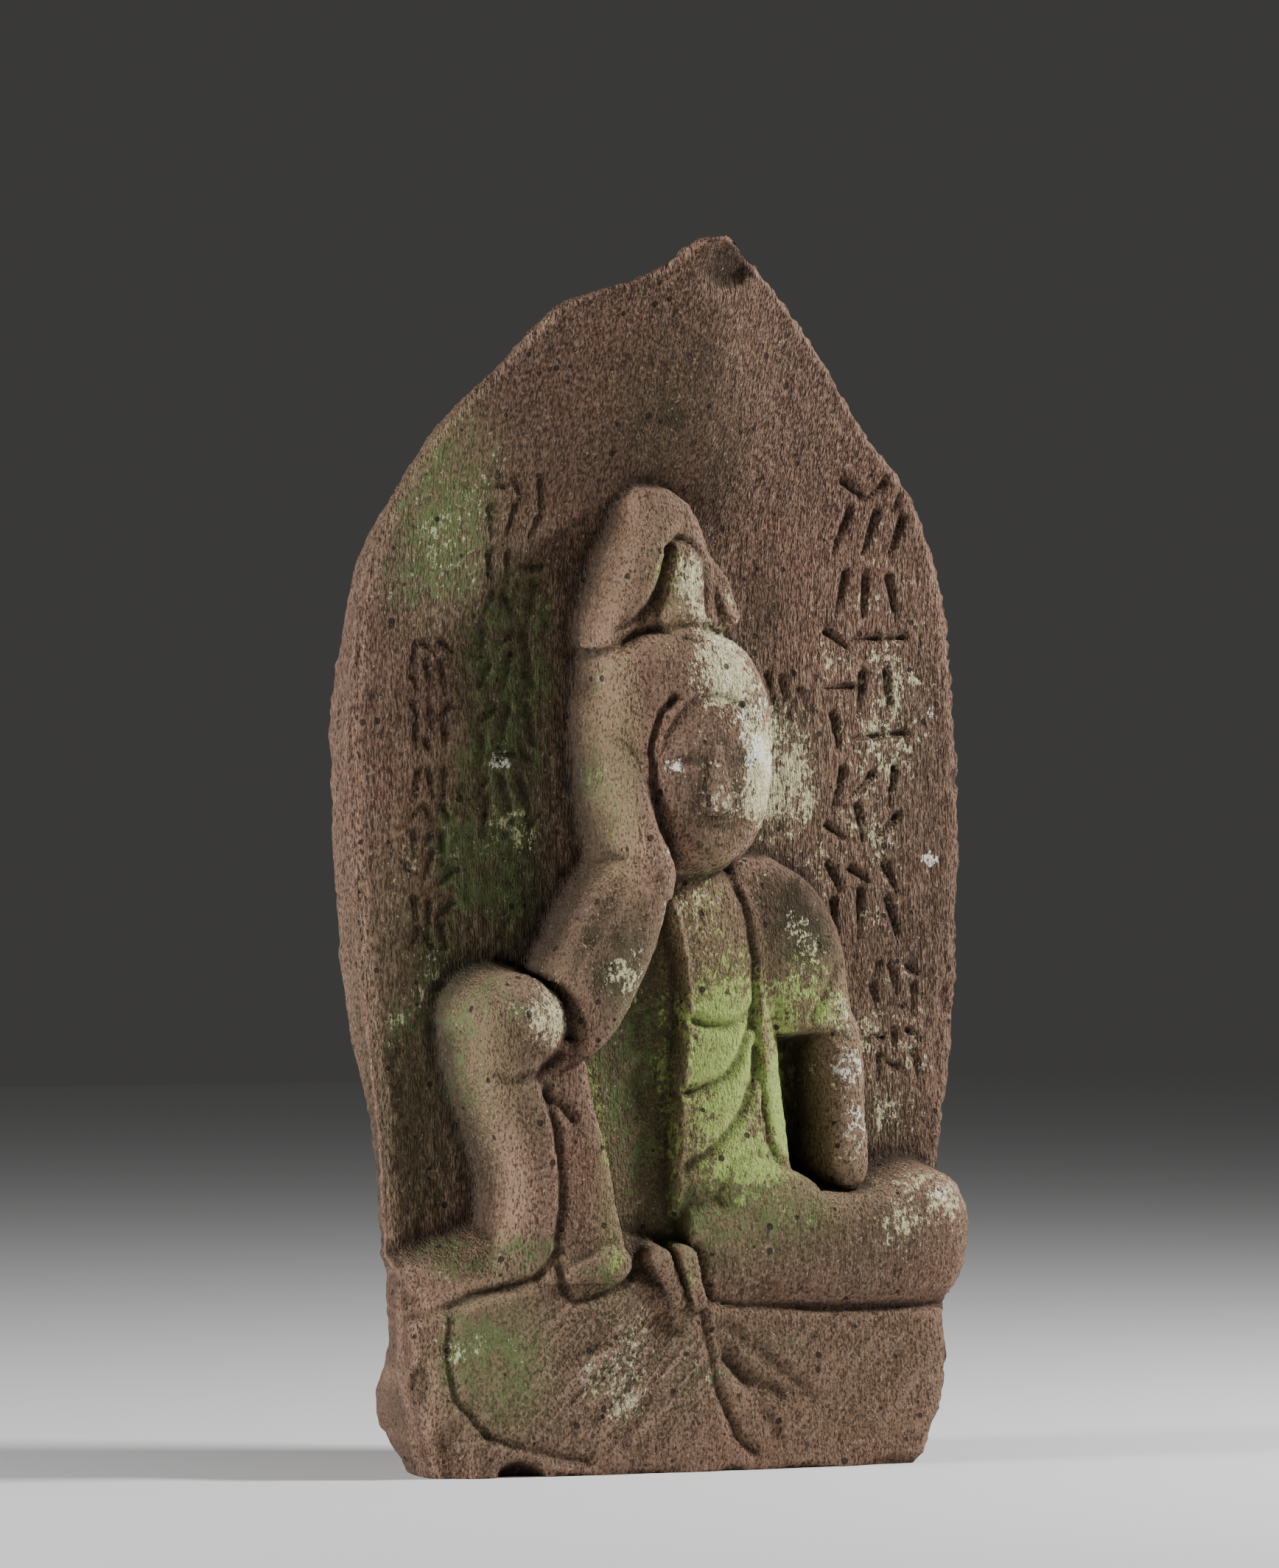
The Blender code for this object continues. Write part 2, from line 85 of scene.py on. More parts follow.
# The stone's unevenness: waves to the metre of the swell, the ripple and the grain, and their shares
SWELL_WAVES, RIPPLE_WAVES, GRAIN_WAVES = 28.0, 75.0, 200.0
RIPPLE_SHARE = 0.5
FRONT_SHARE = 0.22
RAGGED_SHARE, RAGGED_GRAIN = 0.3, 2.0

# The slab is laid out on a grid 691 steps high and 380 wide, the figure on one 550 high and 70 deep
SLAB_STEPS_HIGH, SLAB_STEPS_WIDE = 691, 380
STEPS_HIGH, STEPS_DEEP = 550, 70
STEP = FIGURE_HEIGHT / STEPS_HIGH
DEPTH_STEP = FIGURE_DEPTH / STEPS_DEEP
WALL_SLOPE = 6.0
FIELD_BLEND = 0.0035

# The base's front in grid steps: half its crown's width, its top's two slopes, and its shoulders
CROWN_HALF = 165.0
TOP_SLOPE, STEEPER_SLOPE, STEEPER_FROM = 0.72, 1.8, 26.0
SHOULDER_FROM, SHOULDER_OVER, SHOULDER_DROP = 148.0, 24.0, 8.0

# How finely the sheet is divided: up the stone, across its front, and round each side and the back
ROWS = 390
FRONT_COLUMNS = 206
SIDE_COLUMNS = 10
BACK_COLUMNS = 26
CUT_ALLOWANCE = 0.006
EVENING_ROUNDS = 26
EVENING_RATE = 0.22
CROWDING = 2.2
GRAIN_HEIGHT = 0.0006
WORN_AND_LIT_ARRIS = 7.0
RAGGED_ARRIS = 4.0

# How recesses, given painted shade, and rubbed places, given pale wear and painted highlight, are told:
# rounds of evening out, and the height that counts in full
FINE_ROUNDS, FINE_RELIEF = 8, 0.0016
BROAD_ROUNDS, BROAD_RELIEF = 120, 0.012
FIGURE_STANDS = 0.008
BROAD_HOLLOW_SHADE, CUT_STROKE_SHADE, ARRIS_WEAR_AND_HIGHLIGHT = 0.12, 0.3, 0.8

# The inscription: rows of signs, each (middle, width, top, pitch, signs, depth) in grid steps
INSCRIPTION = (
    (131, 46, 562, 55, 5, 3.8),
    (152, 34, 284, 37, 2, 2.8),
    (-93, 38, 559, 42, 5, 2.2),
    (-140, 26, 468, 36, 5, 2.8),
)
SIGN_FILL = 0.86
STROKE_SEED = 8
STROKE_WIDTH = 1.7
STROKE_PLACES = (-0.36, 0.0, 0.36)
STROKE_STRAY, STROKE_DRIFT = 0.05, 0.03
LEAST_PARTING, MOST_PARTING = 0.3, 0.7
STROKE_TALL, STROKE_WIDE = 0.86, 0.62
LONG_TURN = 0.3
SHORT_TURNS = (-1.0, -0.5, 0.4, 0.8, 1.5)
INSCRIBED_REACH = 12.0
SCRATCHES = (((70, 448), (77, 425)), ((79, 447), (83, 424), (90, 440), (96, 428)), ((122, 551), (122, 548)))
SCRATCH_DEPTH = 2.4
EDGE_FADE = 7.0

# Small chips along the foot and the edges: centre, size across and up, depth
CHIPS = (
    ((-72, -2), (14, 4), 3.0),
    ((-30, -1), (22, 4), 2.5),
    ((24, -1), (9, 4), 3.0),
    ((66, -2), (24, 4), 3.0),
    ((128, -1), (20, 6), 3.5),
    ((158, 14), (8, 14), 3.5),
    ((-160, 52), (5, 12), 5.0),
    ((-164, 96), (5, 8), 4.0),
    ((184, 262), (4, 9), 3.0),
    ((190, 388), (4, 7), 3.0),
)

# The stone's colours
# painted shade for the fine pits of the short chisel marks
DASH_SHADE_DARK = (0.040, 0.022, 0.017, 1.0)
STONE_BROWN = (0.084, 0.052, 0.032, 1.0)
STONE_RED = (0.178, 0.088, 0.058, 1.0)
STONE_PALE = (0.360, 0.235, 0.165, 1.0)
# pale pink of rubbed edges, also painted highlight along the arrises and on the hatching's crests
WORN_PINK_AND_HIGHLIGHT = (0.440, 0.270, 0.190, 1.0)
# painted shade for the recesses, cut strokes and pits
HOLLOW_SHADE_DARK = (0.026, 0.017, 0.013, 1.0)
# dark discolouring, partly painted shade
STAIN_AND_SHADE_DARK = (0.042, 0.030, 0.017, 1.0)
ALGAE_GREEN = (0.118, 0.158, 0.058, 1.0)
ALGAE_BRIGHT = (0.420, 0.540, 0.150, 1.0)
LICHEN_PALE = (0.700, 0.660, 0.400, 1.0)
LICHEN_WHITE = (0.900, 0.890, 0.760, 1.0)
CRYSTAL_PALE = (0.550, 0.420, 0.340, 1.0)

# How strongly each mark colours the stone, in the order they are laid on. The tints of the short
# chisel marks, the recesses and the pits paint shade, the crest tint paints highlight, and the tint of
# the rubbed places both wear and highlight
FURROW_TINT, RIDGE_HIGHLIGHT_TINT, FLECK_TINT, WORN_AND_LIT_TINT, DASH_SHADE_TINT = 0.32, 0.75, 0.75, 0.45, 0.75
DASH_SHADE_OVER_GROWTH, CRYSTAL_TINT, HOLLOW_SHADE_TINT, PIT_SHADE_TINT = 0.3, 0.5, 0.62, 0.85

# The height of the surface's relief in metres, and each mark's share of it
SURFACE_RELIEF = 0.0019
GRAIN_RISE, SPECK_RISE, HATCH_RISE, PIT_FALL = 0.8, 1.5, 3.2, 0.9
FURROW_RISE, FURROW_RISE_ON_FIELD = 0.6, 1.2
STONE_ROUGH, STONE_SHINE = 0.94, 0.25

# Pits, grain and crystals, in cells or waves to the metre
PIT_CELLS, GRAIN_NOISE, CRYSTAL_NOISE, TONE_DRIFT = 120.0, 420.0, 520.0, 11.0

# The chisel's marks: how far each is drawn out, its turn and its waves to the metre
HATCH_TURN = 0.75
CHISEL_MARKS = (
    ("Furrows", (1.0, 0.5, 0.09), 0.0, 340.0),
    ("Dashes", (1.0, 0.7, 0.28), 0.0, 980.0),
    ("Specks", (1.0, 0.9, 0.75), 0.0, 640.0),
    ("Hatch", (1.0, 0.5, 0.10), HATCH_TURN, 280.0),
)

# The growths in the order they are laid on: colour, the amount needed, how far it follows the chisel
# marks, its fineness, its edge's softness, how far it crumbles, and its shares as a film and a crust
GROWTH_LOOKS = (
    # the first, dark discolouring, is partly painted shade
    ("stain_and_shade", STAIN_AND_SHADE_DARK, 0.80, 0.2, 0.8, 0.20, 0.0, 0.55, 0.42),
    ("algae", ALGAE_GREEN, 0.82, 0.8, 1.8, 0.12, 0.4, 0.30, 0.66),
    ("bright", ALGAE_BRIGHT, 0.82, 0.9, 2.2, 0.10, 0.45, 0.14, 0.92),
    ("lichen", LICHEN_PALE, 0.83, 1.0, 3.0, 0.05, 0.5, 0.04, 1.0),
    ("white", LICHEN_WHITE, 0.82, 0.5, 2.4, 0.03, 0.2, 0.00, 1.0),
)
BREAKING_NOISE, DRIFTING_NOISE, SPECKLE_NOISE = 95.0, 30.0, 600.0
PATCH_FALL, PATCH_POWER = 0.7, 1.6

# Where the base cloth is hatched by slanting chisel marks, as soft ovals; the hatching's crests get painted
# highlight
HATCHED = ((-46, 60, 58, 42, 1.0), (-100, 40, 50, 36, 0.5), (90, 50, 90, 40, 0.5))

# Growths on the stone, as soft ovals of (x, z, across, up, strength) in grid steps
GROWTHS = {
    "algae": (
        (-106, 350, 36, 78, 1.0),
        (-135, 535, 36, 60, 1.0),
        (-92, 440, 36, 80, 0.85),
        (-140, 250, 40, 110, 0.75),
        (-46, 395, 11, 70, 0.6),
        (-28, 215, 30, 90, 0.85),
        (-118, 66, 38, 40, 1.0),
        (-118, 122, 40, 16, 0.8),
        (20, 145, 70, 34, 0.85),
        (-20, 500, 34, 40, 0.4),
        (-14, 590, 46, 60, 0.24),
        (60, 400, 34, 50, 0.5),
        (100, 200, 50, 80, 0.4),
        (20, 60, 50, 36, 0.5),
        (-60, 112, 40, 20, 0.55),
        (90, 50, 90, 50, 0.35),
        (-60, 60, 120, 50, 0.35),
    ),
    "bright": (
        (28, 222, 34, 74, 1.1),
        (62, 218, 20, 60, 1.1),
        (14, 300, 20, 52, 0.6),
        (36, 172, 40, 24, 0.8),
        (-6, 200, 5, 110, 0.75),
        (-50, 170, 9, 70, 0.6),
        (76, 262, 26, 34, 0.65),
        (-14, 498, 12, 30, 0.5),
        (-40, 395, 7, 60, 0.35),
        (-135, 545, 22, 40, 0.45),
        (60, 150, 30, 16, 0.5),
        (-116, 62, 30, 32, 0.38),
    ),
    "lichen": (
        (22, 450, 28, 28, 1.0),
        (42, 400, 18, 52, 1.0),
        (78, 394, 28, 42, 1.0),
        (0, 498, 13, 24, 0.85),
        (28, 492, 8, 24, 0.75),
        (-40, 276, 26, 26, 0.55),
        (-92, 262, 20, 22, 0.7),
        (80, 290, 26, 26, 0.42),
        (102, 205, 16, 56, 0.6),
        (130, 400, 44, 110, 0.5),
        (150, 235, 28, 50, 0.62),
        (150, 145, 40, 26, 0.62),
        (-18, 330, 10, 40, 0.55),
        (-36, 60, 46, 30, 0.42),
        (-120, 66, 34, 38, 0.34),
        (10, 395, 34, 50, 0.42),
        (-132, 540, 30, 46, 0.5),
        (12, 310, 18, 34, 0.5),
        (-92, 366, 22, 30, 0.45),
        (-155, 300, 20, 60, 0.4),
    ),
    "white": (
        (175, 428, 4, 6, 0.95),
        (173, 342, 6, 6, 1.0),
        (172, 226, 6, 8, 1.0),
        (-14, 396, 10, 6, 0.9),
        (34, 404, 12, 16, 1.0),
        (44, 428, 9, 18, 1.0),
        (26, 424, 10, 10, 0.8),
        (44, 398, 16, 46, 0.6),
        (102, 226, 12, 14, 1.0),
        (106, 200, 10, 26, 0.85),
        (-96, 398, 9, 8, 0.75),
        (20, 462, 14, 8, 0.7),
        (150, 152, 14, 8, 0.6),
        (-34, 64, 40, 24, 0.40),
        (30, 440, 22, 40, 0.5),
    ),
    # dark discolouring, partly painted shade: the ovals at the shoulder, the sleeve, the robe's recessed
    # panel and the ground left of the head and sleeve darken where the figure shades the stone
    "stain_and_shade": (
        (-14, 600, 36, 50, 0.85),
        (26, 556, 16, 50, 0.8),
        (66, 486, 14, 26, 0.9),
        (-60, 540, 34, 70, 0.6),
        (-86, 420, 26, 110, 1.0),
        (-84, 322, 20, 56, 1.1),
        (-128, 250, 30, 70, 0.6),
        (8, 675, 16, 12, 1.1),
        (76, 310, 34, 34, 1.25),
        (-58, 292, 26, 42, 1.1),
        (-24, 228, 22, 80, 1.0),
        (6, 395, 22, 36, 0.6),
        (150, 192, 30, 18, 0.7),
        (78, 205, 12, 50, 1.0),
        (-46, 395, 16, 40, 0.35),
        (0, 440, 40, 24, 0.4),
        (-156, 190, 26, 60, 0.9),
        (-168, 450, 18, 60, 0.45),
        (140, 310, 30, 50, 0.5),
        (120, 130, 60, 30, 0.35),
        (-80, 585, 34, 40, 0.35),
        (172, 346, 22, 90, 0.45),
        (95, 52, 70, 36, 0.25),
    ),
}

# The slab's two edges in its grid steps: height, then how far left and right of the middle
EDGES = (
    (-10, 150, 134),
    (8, 156, 150),
    (30, 161, 162),
    (60, 166, 167),
    (88, 168, 166),
    (110, 165, 175),
    (131, 164, 181),
    (160, 165, 178),
    (190, 167, 183),
    (224, 171, 187),
    (276, 178, 191),
    (330, 183, 193),
    (412, 186, 192),
    (480, 181, 184),
    (518, 174, 173),
    (550, 161, 155),
    (589, 138, 118),
    (618, 113, 92),
    (640, 94, 69),
    (656, 75, 52),
    (663, 54, 43),
    (670, 36, 33),
    (680, 23, 20),
    (689, 13, 8),
    (691, 5, 4),
)


def smooth(t):
    """0 below 0, 1 above 1 and a soft S between."""
    t = np.clip(t, 0.0, 1.0)
    return t * t * (3.0 - 2.0 * t)


def blend_max(a, b, reach):
    """The higher of two surfaces, run together over the reach."""
    t = np.clip(0.5 + 0.5 * (a - b) / reach, 0.0, 1.0)
    return b + (a - b) * t + reach * t * (1.0 - t)


def along(value, rows, column):
    """A column of the rows at a value of their first column, with rounded joints."""
    knots = np.array([row[0] for row in rows])
    heights = np.array([row[column] for row in rows])
    steps = np.diff(knots)
    slopes = np.diff(heights) / steps
    tangents = np.concatenate(([slopes[0]], 0.5 * (slopes[1:] + slopes[:-1]), [slopes[-1]]))
    value = np.clip(value, knots[0], knots[-1])
    i = np.clip(np.searchsorted(knots, value) - 1, 0, len(steps) - 1)
    t = (value - knots[i]) / steps[i]
    a, b = heights[i], heights[i + 1]
    m, n = tangents[i] * steps[i], tangents[i + 1] * steps[i]
    return (
        a * (2 * t**3 - 3 * t**2 + 1)
        + m * (t**3 - 2 * t**2 + t)
        + b * (3 * t**2 - 2 * t**3)
        + n * (t**3 - t**2)
    )


def to_segment(x, z, start, end):
    """Distance from each point to a straight line between two places, and the share along it."""
    dx, dz = end[0] - start[0], end[1] - start[1]
    share = np.clip(((x - start[0]) * dx + (z - start[1]) * dz) / (dx * dx + dz * dz), 0.0, 1.0)
    return np.hypot(x - start[0] - dx * share, z - start[1] - dz * share), share


def loaf(x, z, spine, sag=0.5, wall=WALL_SLOPE):
    """A rounded mass along a spine of (x, z, radius, depth): its flanks sag, then fall away."""
    top = np.full(np.shape(x), -1000.0)
    for start, end in zip(spine, spine[1:]):
        distance, share = to_segment(x, z, start, end)
        radius = start[2] + (end[2] - start[2]) * share
        depth = start[3] + (end[3] - start[3]) * share
        inside = np.sqrt(np.clip(1.0 - (distance / radius) ** 2, 0.0, 1.0))
        over = np.maximum(distance - radius, 0.0)
        top = np.maximum(top, depth - sag * radius * (1.0 - inside) - wall * over)
    return top


def bolster(across, height, rows, sag=0.5, flat=2.0, lean=0.5, left_sag=None):
    """A rounded mass laid out level by level, in rows of (height, left, right, depth)."""
    left, right, depth = (along(height, rows, column) for column in (1, 2, 3))
    right = np.maximum(right, left + 1.0)
    crest = left + lean * (right - left)
    is_left = across < crest
    off = np.where(is_left, (crest - across) / (crest - left), (across - crest) / (right - crest))
    drop = np.where(is_left, sag if left_sag is None else left_sag, sag) * 0.5 * (right - left)
    inside = np.clip(1.0 - off**flat, 0.0, 1.0) ** (1.0 / flat)
    over = np.maximum(left - across, 0.0) + np.maximum(across - right, 0.0)
    over = over + np.maximum(height - rows[-1][0], 0.0) + np.maximum(rows[0][0] - height, 0.0)
    return depth - drop * (1.0 - inside) - WALL_SLOPE * over


def dome(x, z, centre, size, depth, sag, corner=2.0):
    """An oval mass: highest at its centre, down by the sag at its edge, then falling away."""
    across, up = np.abs(x - centre[0]) / size[0], np.abs(z - centre[1]) / size[1]
    reach = (across**corner + up**corner) ** (1.0 / corner)
    inside = np.clip(1.0 - reach**corner, 0.0, 1.0) ** (1.0 / corner)
    return depth - sag * (1.0 - inside) - WALL_SLOPE * np.maximum(reach - 1.0, 0.0) * min(size)


def groove(x, z, path, width, depth):
    """How deep a rounded cut along a path goes, fading out over its two ends."""
    nearest = np.full(np.shape(x), 1000.0)
    for start, end in zip(path, path[1:]):
        nearest = np.minimum(nearest, to_segment(x, z, start, end)[0])
    return depth * np.exp(-((nearest / width) ** 2))


# The figure's masses in grid steps: spines of (x, z, radius, depth)
TORSO = ((11, 328, 19, 36), (16, 300, 40, 40), (24, 250, 38, 40), (26, 200, 40, 44), (28, 165, 40, 50))
ROBE = ((-30, 290, 24, 22), (-28, 220, 30, 23), (-24, 150, 38, 31))
LAP = ((40, 156, 20, 52), (66, 149, 16, 55))
KNEE = ((-104, 254, 27, 60), (-101, 251, 28, 62))
TOPKNOT_PANEL = ((-4, 510, 11, 49), (-4, 482, 14, 52))
STRAND = ((13, 514, 4, 42), (22, 498, 5, 44), (29, 481, 5, 43))
FOOT = ((-74, 112, 5, 55), (-50, 118, 11, 56))
SASH_ENDS = (((-22, 120, 6, 58), (-10, 96, 4, 56)), ((-6, 121, 5, 60), (2, 95, 4, 58)))

# Masses laid out level by level: (height, left, right, depth)
ARM = (
    (246, 60, 111, 37),
    (264, 52, 108, 37),
    (285, 42, 106, 36),
    (302, 34, 103, 34),
    (319, 30, 95, 32),
    (332, 26, 84, 29),
    (343, 24, 66, 24),
)
FOREARM = (
    (156, 101, 109, 40),
    (163, 95, 112, 46),
    (200, 92, 114, 43),
    (244, 88, 114, 38),
    (262, 84, 110, 32),
)
SHIN = (
    (96, -150, -80, 42),
    (104, -142, -80, 46),
    (114, -131, -79, 49),
    (128, -115, -78, 51),
    (150, -107, -78, 53),
    (170, -108, -79, 54),
    (190, -115, -82, 55),
    (206, -121, -86, 56),
    (225, -127, -91, 57),
    (245, -130, -95, 58),
)
DRAPE = (
    (108, -104, -38, 50),
    (130, -98, -42, 51),
    (153, -95, -47, 50),
    (170, -95, -50, 50),
    (191, -96, -56, 51),
    (212, -98, -63, 52),
    (231, -98, -67, 53),
    (243, -98, -73, 53),
)
SLEEVE = (
    (236, -72, -64, 60),
    (244, -75, -54, 63),
    (256, -78, -43, 65),
    (272, -79, -33, 66),
    (285, -76, -26, 66),
    (300, -68, -20, 65),
    (318, -59, -15, 64),
    (333, -48, -12, 63),
    (342, -41, -12, 60),
)
HAND = (
    (322, -40, -12, 60),
    (336, -39, -11, 63),
    (347, -40, -14, 62),
    (362, -42, -21, 59),
    (380, -44, -27, 56),
    (398, -47, -32, 52),
    (414, -48, -38, 46),
    (432, -48, -41, 38),
    (452, -46, -42, 22),
)
HAND_EDGE = ((330, -11), (347, -16), (360, -24), (374, -29), (386, -33), (398, -38), (408, -44), (416, -52))
HAIR_FLANK = (
    (340, -40, -10, 44),
    (380, -45, 0, 46),
    (404, -48, 10, 50),
    (425, -48, 10, 53),
    (442, -48, 10, 54),
    (458, -46, 10, 53),
    (470, -36, 10, 48),
)

# The topknot: its whole, and the looped lock over its left half
TOPKNOT = (
    (464, -46, 30, 44),
    (490, -43, 26, 45),
    (505, -39, 19, 47),
    (520, -35, 14, 47),
    (535, -31, 8, 45),
    (544, -29, 2, 43),
    (551, -26, -7, 39),
)
TOPKNOT_LOCK = (
    (464, -47, -38, 42),
    (480, -46, -25, 47),
    (496, -42, -17, 51),
    (517, -36, -13, 53),
    (533, -31, -3, 50),
    (546, -28, -2, 44),
)

# The leg that lies flat, from hip to knee: (x, lower edge, upper edge, depth)
LEFT_LEG = (
    (0, 90, 148, 50),
    (30, 90, 158, 54),
    (59, 90, 163, 57),
    (85, 90, 156, 58),
    (111, 90, 156, 57),
    (149, 91, 167, 54),
    (166, 94, 164, 49),
    (176, 101, 156, 42),
    (182, 116, 142, 34),
)
FACE_CENTRE, FACE_SIZE = (10, 388), (36, 51)
HAIR_CENTRE, HAIR_SIZE = (4, 404), (52, 70)

# Edges of cloth: (z, x) of the open robe's two lapels, and (x, z) of the base's top line
LEFT_LAPEL = ((100, -9), (127, -7), (166, -4), (223, 1), (262, 4), (300, -1), (340, -10))
RIGHT_LAPEL = ((150, 66), (171, 59), (184, 51), (236, 48), (286, 46), (330, 36), (343, 31))
BASE_TOP = ((-190, 84), (-150, 94), (-108, 106), (-85, 122), (-60, 114), (0, 98), (190, 92))

# Cuts: width, depth and path of each, in grid steps
CUTS = (
    (3.2, 5.0, ((-57, 458), (-42, 472), (-30, 480), (-20, 494), (-14, 517))),
    (2.2, 3.0, ((-16, 517), (-9, 524), (1, 520), (11, 512), (9, 482))),
    (2.4, 3.0, ((15, 517), (21, 500), (31, 482))),
    (2.0, 2.5, ((-22, 550), (-33, 526), (-38, 510))),
    (3.0, 4.0, ((-52, 456), (-42, 465), (-23, 473), (8, 476), (28, 470))),
    (2.6, 4.5, ((-14, 434), (-22, 426), (-27, 408), (-26, 388), (-21, 369), (-14, 350), (-8, 337))),
    (3.0, 2.0, ((-46, 334), (-36, 331), (-26, 331))),
    (2.8, 6.0, ((-42, 334), (-48, 323), (-56, 312), (-62, 300))),
    (3.2, 3.5, ((3, 254), (15, 250), (26, 249), (36, 252), (44, 259))),
    (3.2, 4.5, ((44, 252), (40, 243), (34, 230), (26, 221), (12, 214), (-1, 211))),
    (3.2, 4.5, ((46, 236), (44, 220), (38, 206), (33, 197), (22, 186), (12, 178), (-3, 168))),
    (2.2, 4.0, ((31, 342), (40, 316), (46, 286), (47, 250), (49, 210), (51, 184), (59, 172))),
    (2.4, 2.5, ((99, 283), (91, 270), (81, 252))),
    (2.6, 3.0, ((-97, 222), (-91, 213), (-81, 206), (-75, 199))),
    (2.6, 3.5, ((-92, 213), (-86, 196), (-82, 173), (-81, 152), (-85, 131))),
    (2.8, 3.5, ((-119, 225), (-110, 221), (-96, 225), (-84, 235))),
    (2.6, 1.5, ((90, 246), (100, 242), (113, 243))),
    (2.2, 2.5, ((-168, 116), (-155, 123), (-139, 134), (-129, 138))),
    (2.6, 3.0, ((-84, 117), (-80, 105), (-74, 97), (-62, 99), (-48, 104), (-32, 115))),
    (2.6, 3.5, ((-170, 88), (-150, 94), (-132, 102), (-108, 106), (-96, 111), (-84, 126))),
    (2.6, 4.0, ((162, 90), (93, 91), (27, 93), (11, 96), (5, 106), (2, 126))),
    (2.8, 2.5, ((-95, 110), (-125, 102), (-146, 94), (-149, 72), (-143, 44), (-125, 24))),
    (2.8, 2.5, ((-125, 24), (-112, 19), (-95, 14), (-64, 8))),
    (2.8, 3.0, ((4, 92), (10, 66), (14, 46), (27, 19), (38, 10))),
    (6.0, 4.5, ((21, 62), (35, 51), (52, 43))),
)

# The base cloth's folds fan out from a hub: (x, z), the nearest and farthest reach, and each turn
FOLD_HUB, FOLD_REACH = (2, 96), (22, 92)
FOLD_TURNS = (-68, -55, -43, -30, 33, 52)
FOLD_WIDTH, FOLD_DEPTH = 4.5, 2.2

# Places where the stone is broken away: centre, size across and up, depth
BREAKS = (
    ((8, 675), (16, 13), 9.0),
    ((-104, 0), (13, 9), 14.0),
    ((-150, 4), (14, 20), 8.0),
    ((172, 91), (6, 4), 6.0),
)


def field(x, z):
    """The flat ground behind the figure: it leans forward to the tip and has a keel there."""
    share = z / STELE_HEIGHT
    rise = np.clip((share - LEAN_FROM) / LEAN_OVER, 0.0, LEAN_MOST)
    middle = KEEL_MIDDLE - KEEL_TILT * (z - KEEL_LEVEL * STELE_HEIGHT)
    keel = KEEL_HEIGHT * np.exp(-np.hypot(x - middle, KEEL_BLUNTNESS) / (KEEL_SPREAD * SLAB_WIDTH))
    return TIP_LEAN * rise**LEAN_POWER + keel * smooth((share - KEEL_FROM) / KEEL_OVER)


def base(x, z):
    """The block below the figure, in grid steps: crowned in front, sloping back at its top."""
    line = along(x, BASE_TOP, 1)
    front = (BASE_DEPTH + BASE_CROWN * (1.0 - (x / CROWN_HALF) ** 2)) / DEPTH_STEP
    over = np.maximum(z - line, 0.0)
    slope = TOP_SLOPE * over + STEEPER_SLOPE * np.maximum(over - STEEPER_FROM, 0.0)
    return front - slope - SHOULDER_DROP * smooth((np.abs(x) - SHOULDER_FROM) / SHOULDER_OVER)


def face(x, z):
    """A calm, weathered face: brow, long nose, lowered lids and a small mouth on an even oval."""
    cx, cz = FACE_CENTRE
    across, up = (x - cx) / FACE_SIZE[0], (z - cz) / FACE_SIZE[1]
    skin = dome(x, z, FACE_CENTRE, FACE_SIZE, 62.0, 13.0)
    nose = loaf(x, z, ((cx, cz + 17, 3.0, 63.5), (cx, cz - 11, 6.5, 69.5)), 0.6, 2.0)
    sockets = sum(
        3.2 * np.exp(-(((across - s * 0.43) / 0.27) ** 2) - ((up - 0.19) / 0.10) ** 2)
        - 1.6 * np.exp(-(((across - s * 0.43) / 0.20) ** 2) - ((up - 0.13) / 0.045) ** 2)
        for s in (-1, 1)
    )
    mouth = 2.0 * np.exp(-((across / 0.24) ** 2) - ((up + 0.52) / 0.035) ** 2)
    chin = 1.6 * np.exp(-((across / 0.3) ** 2) - ((up + 0.76) / 0.14) ** 2)
    lips = 1.2 * np.exp(-((across / 0.22) ** 2) - ((up + 0.52) / 0.10) ** 2)
    return blend_max(skin - sockets, nose, 1.5) - mouth + lips + chin


